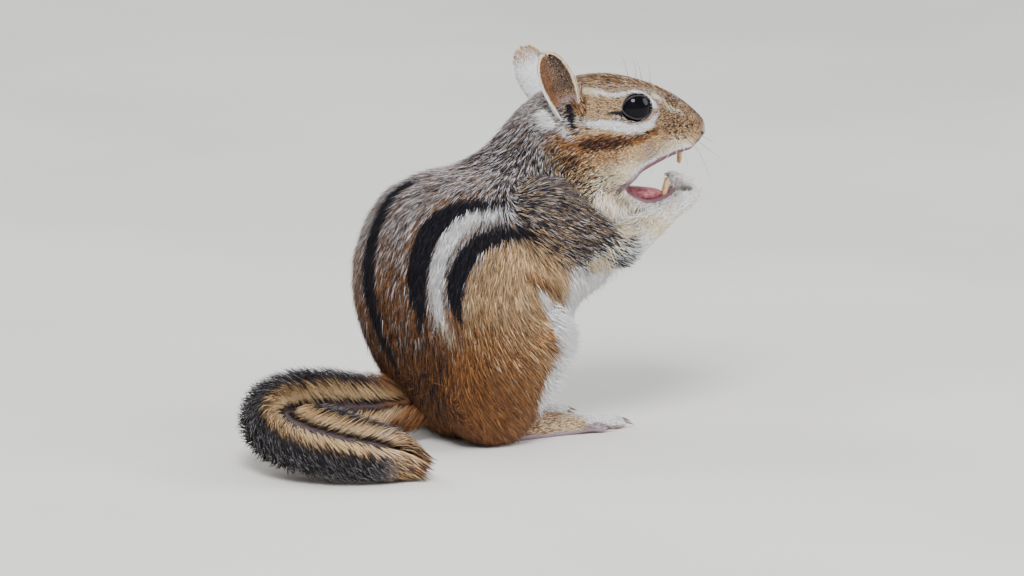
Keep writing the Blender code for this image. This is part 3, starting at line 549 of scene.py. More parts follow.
@dataclass
class Workshop:
    """Makes the scene's pieces out of arrays of points in the trunk's frame."""

    frames: Frames

    def mesh(self, name: str, points: Array, faces: Array) -> Mesh:
        """A smooth mesh of triangles.

        Args:
            name: The mesh's name.
            points: Points in the trunk's frame.
            faces: Rows of three point numbers.

        Returns:
            The mesh.
        """
        mesh = bpy.data.meshes.new(name)
        placed = self.frames.to_scene(points).astype(np.float32)
        mesh.vertices.add(len(placed))
        mesh.vertices.foreach_set("co", placed.ravel())
        mesh.loops.add(faces.size)
        mesh.loops.foreach_set("vertex_index", faces.astype(np.int32).ravel())
        mesh.polygons.add(len(faces))
        mesh.polygons.foreach_set("loop_start", np.arange(0, faces.size, 3, dtype=np.int32))
        mesh.update(calc_edges=True)
        mesh.shade_smooth()
        return mesh

    def piece(
        self, name: str, shape: "Shape", material: Material, slot: str, replaced: Sequence[str] = ()
    ) -> None:
        """A piece of the model that rides on the body.

        Args:
            name: The piece's name.
            shape: Its points and faces.
            material: Its finish.
            slot: Not used.
            replaced: The solids it stands for.
        """
        mesh = self.mesh(name, shape.points, shape.faces)
        carry(mesh, shape.numbers)
        if shape.corners is not None:
            layer = mesh.uv_layers.new(name=COAT_UV)
            layer.uv.foreach_set("vector", shape.corners.astype(np.float32).ravel())
        mesh.materials.append(material)
        thing = placed(name, mesh)
        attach(thing, "root")
        if replaced:
            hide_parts(*replaced)
        log.info("%s: %d triangles", name, len(shape.faces))


@dataclass
class Shape:
    """Points in the trunk's frame, triangles, numbers at the points and the corners' places on the unwrap."""

    points: Array
    faces: Array
    numbers: dict[str, Array] = field(default_factory=dict)
    corners: Array | None = None

    def from_head(self, frames: Frames, side: int = 1) -> "Shape":
        """The shape of the head's frame brought into the trunk's, mirrored to the right where side is -1."""
        return Shape(frames.from_head(self.points, side), self.faces[:, ::side])


def joined(shapes: Sequence[Shape]) -> Shape:
    """Several shapes as one.

    Args:
        shapes: The shapes, all with the same numbers.

    Returns:
        The one shape.
    """
    starts = np.cumsum([0] + [len(shape.points) for shape in shapes[:-1]])
    points = np.concatenate([shape.points for shape in shapes])
    faces = np.concatenate([shape.faces + start for shape, start in zip(shapes, starts)])
    numbers = {key: np.concatenate([shape.numbers[key] for shape in shapes]) for key in shapes[0].numbers}
    corners = None if shapes[0].corners is None else np.concatenate([shape.corners for shape in shapes])
    return Shape(points, faces, numbers, corners)


def loft(rings: Array) -> Shape:
    """A closed skin over rings of equal count, with a fan at each end.

    Args:
        rings: Rings of points, as rings by points by 3.

    Returns:
        The closed shape.
    """
    count, sides = rings.shape[:2]
    points = [rings.reshape(-1, 3), rings[0].mean(0)[None], rings[-1].mean(0)[None]]
    i = np.arange(sides)
    j = (i + 1) % sides
    faces = []
    for row in range(count - 1):
        a, b = row * sides, (row + 1) * sides
        faces += [np.stack([a + i, b + i, a + j], 1), np.stack([a + j, b + i, b + j], 1)]
    first, last = count * sides, count * sides + 1
    faces.append(np.stack([np.full(sides, first), i, j], 1))
    faces.append(np.stack([np.full(sides, last), (count - 1) * sides + j, (count - 1) * sides + i], 1))
    return Shape(np.concatenate(points), np.concatenate(faces))


def circles(across: Array, upward: Array, sides: int) -> Array:
    """Circles of radius one, each in the plane of a row of across and of upward."""
    angles = np.linspace(0.0, 2 * math.pi, sides, endpoint=False)
    return np.cos(angles)[None, :, None] * across[:, None] + np.sin(angles)[None, :, None] * upward[:, None]


def rod(line: Array, radii: Sequence[float], sides: int = 8) -> Shape:
    """A round rod along a line.

    Args:
        line: The points of its middle.
        radii: Its radius at each.
        sides: Corners of its section.

    Returns:
        The closed shape.
    """
    way = unit(np.gradient(line, axis=0))
    lean = np.array([0.0, 0.0, 1.0]) if abs(way[0][2]) < 0.8 else np.array([0.0, 1.0, 0.0])
    across = unit(np.cross(way, lean))
    ring = circles(across, np.cross(across, way), sides)
    return loft(line[:, None] + ring * np.asarray(radii)[:, None, None])


def globe(centre: Array, size: Any, turn: Array | None = None, segments: int = 40) -> Shape:
    """An ellipsoid of the given half sizes, with its axes turned by a matrix.

    Args:
        centre: Its centre.
        size: Its half sizes.
        turn: The matrix that turns it.
        segments: Its sides all round.

    Returns:
        The closed shape.
    """
    latitudes = np.linspace(0.03, math.pi - 0.03, segments // 2)
    angles = np.linspace(0.0, 2 * math.pi, segments, endpoint=False)
    sine, cosine = np.sin(latitudes)[:, None], np.cos(latitudes)[:, None]
    rings = np.stack([sine * np.cos(angles), sine * np.sin(angles), cosine + 0 * angles], -1)
    rings = rings[::-1] * np.asarray(size, float)
    if turn is not None:
        rings = rings @ turn.T
    return loft(rings + centre)


@dataclass(frozen=True)
class Camera:
    """The camera: where it aims, from which side, how far away and through which lens."""

    target: Point = (3.4, 0.0, 35.8)
    azimuth: float = -29.0
    elevation: float = 11.0
    distance: float = 2.0
    lens: float = 281.25

    def build(self, frames: Frames) -> None:
        """Places the camera and makes it the scene's.

        Args:
            frames: How the frames lie.
        """
        camera = bpy.data.cameras.new("camera")
        camera.lens = self.lens
        camera.sensor_width = 36.0
        camera.clip_end = 20.0
        thing = placed("camera", camera)
        turn, rise = math.radians(self.azimuth), math.radians(self.elevation)
        back = Vector((math.sin(turn) * math.cos(rise), -math.cos(turn) * math.cos(rise), math.sin(rise)))
        thing.location = Vector(frames.to_scene(np.array(self.target))) + back * self.distance
        thing.rotation_euler = back.to_track_quat("Z", "Y").to_euler()
        bpy.context.scene.camera = thing


@dataclass(frozen=True)
class Studio:
    """A pale floor under soft light from above, the side and the front."""

    floor_size: float = 3.0
    lamps: tuple[tuple[Point, float, float], ...] = (
        ((-0.45, -0.70, 1.05), 0.5, 19.0),
        ((1.10, -0.55, 0.60), 0.8, 10.0),
        ((-0.5, 1.0, 0.9), 0.8, 7.0),
    )
    sky: float = 0.74
    aim_height: float = 0.04

    def build(self) -> None:
        """Builds the floor, the lamps and the pale surround."""
        shape = bmesh.new()
        bmesh.ops.create_grid(shape, x_segments=2, y_segments=2, size=self.floor_size)
        mesh = bpy.data.meshes.new("floor")
        shape.to_mesh(mesh)
        shape.free()
        mesh.materials.append(PALE_FLOOR.material())
        placed("floor", mesh)
        for i, (place, size, power) in enumerate(self.lamps):
            self.lamp(f"lamp_{i + 1}", Vector(place), size, power)
        world = bpy.data.worlds.new("surround")
        world.use_nodes = True
        background = world.node_tree.nodes["Background"]
        background.inputs["Color"].default_value = (0.92, 0.95, 1.0, 1.0)
        background.inputs["Strength"].default_value = self.sky
        bpy.context.scene.world = world

    def lamp(self, name: str, place: Vector, size: float, power: float) -> None:
        """Hangs one round soft lamp that faces the model.

        Args:
            name: Its name.
            place: Where it hangs, in metres.
            size: How wide it is.
            power: Its watts.
        """
        light = bpy.data.lights.new(name, "AREA")
        light.shape = "DISK"
        light.size = size
        light.energy = power
        thing = placed(name, light)
        thing.location = place
        thing.rotation_euler = (place - Vector((0, 0, self.aim_height))).to_track_quat("Z", "Y").to_euler()


@dataclass
class TailLine:
    """The tail's middle line, its coat and its core."""

    line: tuple[tuple[float, float], ...] = (
        (-22, 0), (-36, 0.5), (-49, 0), (-61, -3.5), (-68, -12), (-69, -23), (-64.5, -32.5), (-56.5, -38),
        (-49, -40.5), (-42.5, -43.5),
    )
    coat: tuple[float, ...] = (6.6, 8.8, 10.6, 11.0, 10.8, 10.4, 9.6, 8.2, 5.8, 1.4)
    root_height: float = 11.0
    core_share: float = 0.40
    core_end: float = 0.88
    samples: int = 400

    def __post_init__(self) -> None:
        """Reads the line at even shares into tables."""
        self.shares = np.linspace(0.0, 1.0, self.samples)
        last = len(self.line) - 1
        places = self.shares * last
        middle = np.array([blended(self.line, place) for place in places])
        self.radius = np.array([blended([(value,) for value in self.coat], place)[0] for place in places])
        height = self.radius * 0.95 - 0.3
        height += (self.root_height - height) * np.maximum(0.0, 1 - places / 2.2) ** 2
        self.centre = np.column_stack([middle, height])
        self.forward = unit(np.gradient(self.centre, axis=0))
        self.across = unit(np.cross(self.forward, np.array([0.0, 0.0, 1.0])))
        self.upward = np.cross(self.across, self.forward)
        self.span = float(np.linalg.norm(np.diff(self.centre, axis=0), axis=1).sum())

    def read(self, table: Array, share: Array) -> Array:
        """Rows of a table at any shares."""
        columns = [np.interp(share, self.shares, column) for column in np.atleast_2d(table.T)]
        return np.stack(columns, -1) if table.ndim > 1 else columns[0]

    def core(self) -> Shape:
        """The core that the tail's hair grows from.

        Returns:
            The closed shape.
        """
        shares = np.linspace(0.0, self.core_end, 70)
        size = self.read(self.radius, shares)[:, None, None] * self.core_share
        across, upward = self.read(self.across, shares), self.read(self.upward, shares)
        return loft(self.read(self.centre, shares)[:, None] + circles(across, upward, 20) * size)


@dataclass(frozen=True)
class Stroke:
    """A soft line of one colour, given for the right side and mirrored: rows are x, y, z and half width."""

    layer: Layer
    home: Home
    rows: tuple[tuple[float, float, float, float], ...]
    edge: float = 0.45
    strength: float = 1.0
    mirrored: bool = True

    def amount(self, points: Array) -> Array:
        """How much of the colour lies at each point.

        Args:
            points: Points in the stroke's frame, folded to the right side.

        Returns:
            Amounts from 0 to the stroke's strength.
        """
        rows = np.array(self.rows)
        best = np.zeros(len(points))
        for first, last in zip(rows, rows[1:]):
            along = last[:3] - first[:3]
            share = np.clip((points - first[:3]) @ along / (along @ along), 0.0, 1.0)
            away = np.linalg.norm(points - first[:3] - share[:, None] * along, axis=1)
            half = first[3] + (last[3] - first[3]) * share
            best = np.maximum(best, smoothstep(half + self.edge, half - self.edge, away))
        return best * self.strength


@dataclass(frozen=True)
class Patch:
    """A soft oval field of one colour, given for the right side and mirrored."""

    layer: Layer
    home: Home
    centre: Point
    size: Point
    edge: float = 0.3
    strength: float = 1.0
    mirrored: bool = True

    def amount(self, points: Array) -> Array:
        """How much of the colour lies at each point of the patch's frame, folded to the right side."""
        away = np.linalg.norm((points - np.array(self.centre)) / np.array(self.size), axis=1)
        return smoothstep(1.0 + self.edge, 1.0 - self.edge, away) * self.strength


GROUNDS: dict[Region, tuple[tuple[Layer, float], ...]] = {
    Region.JAW: ((CREAM, 0.9),),
    Region.NECK: ((BLACK, 0.42),),
    Region.UPPER_ARM: ((BLACK, 0.58), (BUFF, 0.38)),
    Region.THIGH: ((BUFF, 0.97), (RUST, 0.48)),
    Region.FOREARM: ((BUFF, 0.7), (CREAM, 0.8)),
    Region.HAND: ((CREAM, 0.9), (WHITE, 0.75)),
    Region.FOOT: ((BUFF, 0.95), (CREAM, 0.4)),
}

MARKINGS: tuple[Stroke | Patch, ...] = (
    # Fields of the trunk
    Patch(BUFF, TRUNK, (-6, -26, 34), (19, 13, 22), 0.3, 0.97),
    Patch(RUST, TRUNK, (-21, -12, 8), (31, 24, 27), 0.55, 0.95),
    Patch(RUST, TRUNK, (-38, -10, 26), (12, 16, 24), 0.7, 0.7),
    Patch(BLACK, TRUNK, (-32, -9, 14), (14, 13, 24), 0.6, 0.44),
    Patch(BLACK, TRUNK, (6, -16, 60), (18, 12, 12), 0.5, 0.5),
    Patch(WHITE, TRUNK, (24, 0, 28), (21, 40, 28), 0.14),
    Patch(CREAM, TRUNK, (26, 0, 52), (14, 16, 14), 0.3),
    Patch(WHITE, TRUNK, (25, -12, 2.5), (10, 8, 5), 0.25, 0.85),
    Patch(GREY, TRUNK, (19, -17.2, 2), (5.5, 1.8, 2.6), 0.4, 0.8),
    Stroke(WHITE, TRUNK, ((-1.5, -24, 39.5, 0.9), (2.4, -24.2, 34.5, 2), (4.9, -25.2, 29, 3),
        (5.6, -25, 23, 3.5), (4.4, -23.6, 16.5, 3.6), (1.6, -20.6, 10.5, 2.8)), 1),
    Stroke(RUST, TRUNK, ((-4.7, -23.3, 43.2, 0.7), (-0.1, -23.1, 41.4, 1.2), (4.9, -21.9, 38.4, 0.8)), 0.7,
        0.9),
    Stroke(BLACK, TRUNK, ((-2.5, -23.3, 42.2, 0.3), (3.5, -22.3, 39.4, 0.4)), 0.5, 0.45),
    # Stripes of the back
    Stroke(RUST, TRUNK, ((-13, -12.6, 63.4, 1), (-21, -11.6, 61.8, 2.6), (-28.6, -11.4, 55.6, 3.4),
        (-32.2, -12.6, 46, 4)), 1, 0.38),
    Stroke(BLACK, TRUNK, ((-28.6, -9.4, 56, 2.5), (-35, -8, 44, 4), (-35.5, -8, 32, 4.5)), 3, 0.33),
    Stroke(BLACK, TRUNK, ((-24, -0.2, 67, 1.2), (-31, -0.6, 62.6, 2), (-35.6, -1.2, 57, 2.4),
        (-38.2, -2.2, 50, 2.5), (-39.4, -3, 42.5, 2.5), (-39, -3.9, 36, 2.3), (-37.6, -4.6, 30, 2),
        (-35.4, -5, 24, 1.5), (-32, -5.2, 17, 0.8)), 0.6, mirrored=False),
    Stroke(BLACK, TRUNK, ((-6.9, -15.7, 61.3, 0.8), (-13, -14.3, 61.8, 1.5), (-19.6, -13.4, 60.8, 2.2),
        (-24.2, -13.4, 58.2, 2.6), (-27.8, -13.6, 54.8, 2.8), (-30, -14.2, 50.2, 2.8),
        (-31.4, -14.8, 45.3, 2.7), (-31.8, -15.3, 40.4, 2.3), (-31.4, -15.8, 36.4, 1.5),
        (-30.9, -16, 33, 0.5)), 0.6),
    Stroke(BLACK, TRUNK, ((-31, -15.9, 33, 1.6), (-27.5, -17, 24, 2)), 1.2, 0.4),
    Stroke(WHITE, TRUNK, ((-3.5, -18.9, 59, 0.6), (-9.7, -17, 59.4, 1.3), (-15, -15.9, 58.9, 1.8),
        (-19.5, -16, 57.2, 2), (-23.3, -16.5, 54, 2), (-26, -17.2, 49.6, 2), (-27.5, -17.8, 45.2, 1.8),
        (-28, -18.3, 40.5, 1.6), (-27.6, -18.9, 36.6, 1.3), (-26.9, -19.2, 34, 0.7)), 0.6),
    Stroke(CREAM, TRUNK, ((-27.8, -18.6, 38, 1.4), (-26.4, -19.2, 32.5, 1.3), (-25, -19.8, 28.5, 0.8)), 1,
        0.6),
    Stroke(BLACK, TRUNK, ((-1, -22, 53.2, 0.7), (-6.4, -20.6, 54.2, 1.7), (-10.6, -19.5, 54.4, 2.3),
        (-15.1, -19.2, 53.2, 2.5), (-18.8, -19.4, 50.7, 2.4), (-21.4, -19.8, 47.6, 2.4),
        (-23.2, -20.4, 43.6, 2.3), (-24, -20.9, 39.6, 1.9), (-23.7, -21.4, 36.4, 1.1),
        (-23.2, -21.7, 33.8, 0.4)), 0.6),
    # Fields of the head
    Patch(BUFF, HEAD, (3, 0, 13), (24, 11, 6), 0.5, 0.7),
    Patch(RUST, HEAD, (6, 0, 12), (24, 9, 7), 0.5, 0.42),
    Patch(BLACK, HEAD, (6, 0, 14), (22, 9, 7), 0.5, 0.38),
    Patch(BUFF, HEAD, (14, -6, 1), (12, 8, 7.5), 0.4, 0.95),
    Patch(RUST, HEAD, (16, -4, 2), (9, 7, 4.6), 0.5, 0.42),
    Patch(BLACK, HEAD, (16, -3, 4), (11, 9, 6), 0.5, 0.46),
    Patch(BUFF, HEAD, (-5, -11, 8), (8, 5, 4.4), 0.5, 0.85),
    Patch(BLACK, HEAD, (-4, -11, 7.5), (7, 5, 3.6), 0.5, 0.3),
    Patch(BUFF, HEAD, (-4, -14, -6.5), (15, 8, 9.5), 0.4, 0.95),
    Patch(RUST, HEAD, (-6, -14, -5), (10, 6, 5), 0.5, 0.36),
    Patch(CREAM, HEAD, (2, -12, -14.5), (13, 9, 8), 0.4, 0.85),
    Patch(WHITE, HEAD, (6, 0, -23), (17, 13, 9), 0.25, 0.9),
    Patch(CREAM, HEAD, (15, -5, -5.5), (7, 5, 4), 0.5, 0.8),
    Patch(BLACK, HEAD, (21.6, -0.6, 4), (3, 2, 1.6), 0.5, 0.8),
    Stroke(RUST, HEAD, ((-17.5, -12.5, 0.5, 1.4), (-14.5, -13.6, -1.8, 2), (-10, -14, -3, 1.6)), 1.2, 0.7),
    Stroke(BLACK, HEAD, ((-17.5, -12.5, -1.5, 1.4), (-14, -14, -4.5, 1.8)), 1.6, 0.42),
    Stroke(RUST, HEAD, ((-9, -9, 12, 1.2), (-9.5, -10.2, 7, 1.8)), 1.2, 0.7),
    # Stripes of the face
    Stroke(WHITE, HEAD, ((-5.5, -7.8, 11.2, 0.4), (-3.5, -9, 10.5, 0.7), (0, -10.2, 10.1, 0.8),
        (2.5, -10.6, 10.6, 0.7), (5.5, -11.2, 10.3, 0.7), (8, -11.1, 8.8, 0.8), (9.3, -10.8, 6.8, 0.7)),
        0.4),
    Stroke(CREAM, HEAD, ((-11, -6.6, 11.4, 1.5), (-6.5, -7.6, 11, 1.5), (-3, -8.8, 10.4, 0.9)), 0.9, 0.85),
    Stroke(CREAM, HEAD, ((9.4, -10, 9.6, 0.8), (11.8, -8.5, 7.6, 1), (14.7, -5.9, 5.5, 0.9),
        (17.8, -4.8, 4, 0.5)), 0.7, 0.95),
    Stroke(RUST, HEAD, ((3, -8.8, 12.8, 0.9), (10.5, -7.4, 10.2, 1), (16, -4.2, 7, 0.8)), 0.9, 0.6),
    Stroke(BLACK, HEAD, ((-4, -7, 12.8, 0.5), (5, -8.6, 12.4, 0.7), (10.5, -7.6, 10.2, 0.5)), 0.7, 0.5),
    Stroke(WHITE, HEAD, ((-9.5, -12.6, 3.2, 0.7), (-5.1, -12.6, 3, 1.2), (-0.9, -12.2, 2.2, 1.3),
        (2.3, -11.8, 1.4, 1.2), (5.6, -10.9, 1.4, 1.2), (8.5, -9.9, 2.5, 1.1), (9.8, -10, 4.4, 0.8)), 0.6),
    Stroke(BLACK, HEAD, ((-3, -11.6, 5.6, 0.35), (-1.6, -11.4, 5.6, 0.6), (0.6, -11.6, 5.4, 0.8)), 0.45),
    Stroke(GREY, HEAD, ((8, -11, 5.6, 0.5), (9.8, -10.4, 5, 0.3)), 0.3, 0.9),
    Stroke(RUST, HEAD, ((-12, -13.8, -2, 1.8), (-8, -13.7, -1.8, 2.2), (-4, -13.2, -1.7, 2),
        (0, -12.5, -1.6, 1.5), (3.9, -11.5, -1.7, 1.2), (7, -10.5, -1.2, 1), (9.9, -9.3, 0.2, 0.7)), 0.9,
        0.84),
    Stroke(BLACK, HEAD, ((-9, -13.8, -2.2, 1.9), (-3, -13.2, -2, 1.8), (2.5, -12, -2, 1)), 1, 0.62),
    Stroke(BLACK, HEAD, ((-6, -13.4, 0.2, 0.4), (-0.5, -12.5, -0.4, 0.5), (4, -11.5, -0.7, 0.5),
        (8.5, -10, 0.4, 0.4), (12, -8.4, 1.6, 0.3)), 0.6, 0.75),
    Stroke(BLACK, HEAD, ((-14.7, -15.2, -6.6, 0.9), (-12.7, -16.3, -10.8, 1.2), (-9.5, -15.8, -11.6, 0.8)),
        1, 0.62),
    # Rows of dark spots where the whiskers grow, and the sides of the nose
    *(Patch(BLACK, HEAD, (13.2 + 1.75 * i + 0.5 * row, -8.1 + 0.85 * i, 1.2 - 1.55 * row), (0.6, 1.4, 0.36),
        0.5, 0.82) for row in range(3) for i in range(5 - row)),
    Stroke(BLACK, HEAD, ((21.2, -3.9, -1.2, 0.35), (23, -2.6, -0.8, 0.35)), 0.3, 0.8),
    # Lips
    Stroke(WHITE, HEAD, ((18.5, -5.8, -4.2, 1), (14, -5.7, -5.6, 1.2), (8.4, -7.7, -8, 1.3),
        (3.6, -11.9, -10.4, 1.2)), 0.8, 0.75),
    Stroke(GREY, HEAD, ((14, -5.7, -6.6, 0.5), (8.4, -7.7, -9, 0.8), (3.6, -11.9, -11.4, 1),
        (0.9, -13.4, -13, 1.1)), 0.6, 0.85),
    # Round the ear: the pale fur behind it, and painted shade in the slit below its cup
    Stroke(WHITE, HEAD, ((-18.6, -8.4, 6, 0.6), (-16.6, -10, 4.4, 0.9), (-14.9, -12.2, 1.8, 1),
        (-13.2, -13.2, -0.4, 0.8), (-11.4, -13.2, -1, 0.6), (-9.8, -13, 0.2, 0.5)), 0.8, 0.9),
    Stroke(BLACK, HEAD, ((-12.4, -10.2, 7.6, 0.9), (-12.3, -12.4, 3.4, 0.8), (-11.7, -13.2, 0.6, 0.6)), 0.4,
        0.95),
)


@dataclass
class Markings:
    """Reads every marking at points of the body."""

    frames: Frames

    def read(self, points: Array, weights: Array) -> dict[str, Array]:
        """The amount of each layer's colour.

        Args:
            points: Points on the outside of the coat, in the trunk's frame.
            weights: Each point's share in each region.

        Returns:
            Amounts from 0 to 1 by the layer's name.
        """
        homes = {TRUNK: points, HEAD: self.frames.to_head(points)}
        both = {home: folded(place) for home, place in homes.items()}
        head = smoothstep(-22.0, -16.0, homes[HEAD][:, 0]) * smoothstep(-26.0, -20.0, homes[HEAD][:, 2])
        amounts = blank_numbers(len(points))
        for region, layers in GROUNDS.items():
            for layer, strength in layers:
                amounts[layer.value] = np.maximum(amounts[layer.value], share_of(weights, region) * strength)
        for marking in MARKINGS:
            amount = marking.amount((both if marking.mirrored else homes)[marking.home])
            if marking.home is HEAD:
                amount = amount * head
            amounts[marking.layer.value] = np.maximum(amounts[marking.layer.value], amount)
        return amounts


@dataclass
class Lie:
    """The way the hair lies: anchors as a place and a way, given for the right side and mirrored."""

    trunk: tuple[tuple[Point, Point], ...] = (
        ((-6, -5, 72), (-0.85, -0.1, -0.5)), ((-26, -3, 68), (-0.75, 0, -0.65)), ((-38, -4, 52),
        (-0.25, 0, -1)), ((-39, -5, 36), (0.05, 0, -1)), ((-34, -6, 18), (-0.2, 0, -0.9)), ((-24, -19, 52),
        (-0.45, -0.1, -0.9)), ((-12, -21, 50), (-0.4, 0, -0.9)), ((-22, -22, 32), (0.15, 0, -1)),
        ((-10, -25, 22), (0.5, 0, -0.85)), ((0, -25, 30), (0.75, 0, -0.65)), ((-14, -24, 10),
        (0.6, 0, -0.7)), ((2, -24, 41), (0.4, 0, -0.9)), ((12, -20, 40), (0.3, 0, -1)), ((30, -6, 45),
        (0.25, 0, -1)), ((28, -4, 60), (0.35, 0, -0.9)), ((20, -4, 30), (0, 0, -1)), ((0, -18, 64),
        (-0.2, -0.3, -0.9)), ((10, -16, 66), (0.1, -0.3, -0.95)),
    )
    head: tuple[tuple[Point, Point], ...] = (
        ((23, -2, 3), (-0.7, -0.5, 0.4)), ((18, -2, 8), (-0.9, 0, 0.45)), ((9, -4, 12), (-0.95, 0, 0.3)),
        ((0, -5, 14.5), (-1, 0, 0.05)), ((-10, -5, 13), (-0.95, 0, -0.35)), ((-18, -5, 8), (-0.8, 0, -0.6)),
        ((18, -6, -2), (-0.95, -0.1, -0.25)), ((11, -9, 3), (-0.9, -0.2, 0)), ((4, -11, -2), (-1, 0, -0.3)),
        ((-6, -13, -4), (-0.95, 0, -0.35)), ((-14, -13, -6), (-0.85, 0, -0.55)), ((-5, -12, 8), (-1, 0, 0)),
        ((4, -10, 12), (-0.95, 0, 0.25)), ((8, -8, -15), (-0.8, 0, -0.5)), ((14, -2, -19.5),
        (-0.7, 0, -0.6)), ((0, -4, -23), (-0.8, 0, -0.4)),
    )
    sharpness: float = 3.5

    def read(self, points: Array, anchors: Sequence[tuple[Point, Point]]) -> Array:
        """The way at each point, drawn from the anchors near it.

        Args:
            points: Points in the anchors' frame.
            anchors: The anchors.

        Returns:
            Ways, not yet laid on the surface.
        """
        flip = np.where(points[:, 1:2] > 0, -1.0, 1.0)
        rows = folded(points)
        total = np.zeros_like(points)
        for place, way in anchors:
            weight = (np.linalg.norm(rows - np.array(place), axis=1) + 0.5) ** -self.sharpness
            total += weight[:, None] * unit(np.array(way))
        total[:, 1:2] *= flip
        return unit(total)


@dataclass
class Limbs:
    """The joints of the limbs in the trunk's frame, those of the hand in the head's, and the paws' frames."""

    SHOULDER = (3.0, 14.5, 56.5)
    ELBOWS = {-1: (22.5, -19.0, 46.8), 1: (20.5, 17.0, 46.0)}
    WRIST, KNUCKLES, FINGERTIPS = (13.6, 7.6, -20.2), (19.8, 4.8, -16.8), (18.0, 4.2, -12.0)
    HEELS = {-1: (-4.0, -12.5, 4.5), 1: (-9.5, 10.5, 4.5)}
    FOOT_TURN = -4.0

    frames: Frames

    def arm(self, side: int) -> tuple[Array, Array, Array, Array]:
        """Shoulder, elbow, wrist and knuckles of the left arm, or of the right one where side is -1."""
        hand = (self.frames.from_head(place, side) for place in (self.WRIST, self.KNUCKLES))
        return np.array(self.SHOULDER) * np.array([1.0, side, 1.0]), np.array(self.ELBOWS[side]), *hand

    def hand(self, side: int) -> tuple[Array, Array]:
        """The hand's place and its axes as columns: along the palm, across it and out of its back.

        Args:
            side: 1 for the left, -1 for the right.

        Returns:
            The wrist and the axes.
        """
        places = (self.WRIST, self.KNUCKLES, self.FINGERTIPS)
        wrist, knuckles, tips = (self.frames.from_head(place, side) for place in places)
        forward = unit(knuckles - wrist)
        grip = tips - knuckles
        upward = -unit(grip - forward * (grip @ forward))
        return wrist, np.column_stack([forward, np.cross(upward, forward), upward])

    def foot(self, side: int) -> tuple[Array, Array]:
        """The foot's place under the heel and its axes as columns: forward, outward and up."""
        x, y, _ = self.HEELS[side]
        return np.array([x, y, 0.0]), rotation_z(self.FOOT_TURN * side) @ np.diag([1.0, side, 1.0])


@dataclass
class Surface:
    """The finished skin as arrays, with what the coat needs to know at each point."""

    points: Array
    outer: Array
    normals: Array
    faces: Array
    corners: Array
    weights: Array
    way: Array
    length: Array
    cover: Array
    numbers: dict[str, Array]

    def tree(self) -> BVHTree:
        """The skin's faces, ready to be searched."""
        return BVHTree.FromPolygons(self.points.tolist(), self.faces.tolist())


class Mouth:
    """The open mouth's edges in profile, in the head's frame: along, upper lip and lower lip."""

    EDGES = np.array([
        (1, -13, -14), (4, -11, -15.9), (8, -8.9, -17.7), (12, -7.2, -17.1), (15.5, -6, -15.5),
        (19, -4.9, -14), (30, -6.8, -13),
    ], float)

    @classmethod
    def lining(cls, head: Array, normals: Array) -> Array:
        """How much each point lies on the mouth's lining, from its place and normal in the head's frame.

        Args:
            head: Points in the head's frame.
            normals: Their normals, in that frame.

        Returns:
            Amounts from 0 to 1.
        """
        upper = np.interp(head[:, 0], cls.EDGES[:, 0], cls.EDGES[:, 1])
        lower = np.interp(head[:, 0], cls.EDGES[:, 0], cls.EDGES[:, 2])
        roof = smoothstep(1.3, 0.7, np.abs(head[:, 2] - upper)) * smoothstep(-0.2, -0.6, normals[:, 2])
        floor = smoothstep(1.3, 0.7, np.abs(head[:, 2] - lower)) * smoothstep(0.2, 0.6, normals[:, 2])
        inside = smoothstep(0.0, 0.3, head[:, 2] - lower) * smoothstep(0.0, 0.3, upper - head[:, 2])
        return np.clip(roof + floor + inside, 0.0, 1.0) * smoothstep(-1.0, 1.5, head[:, 0])


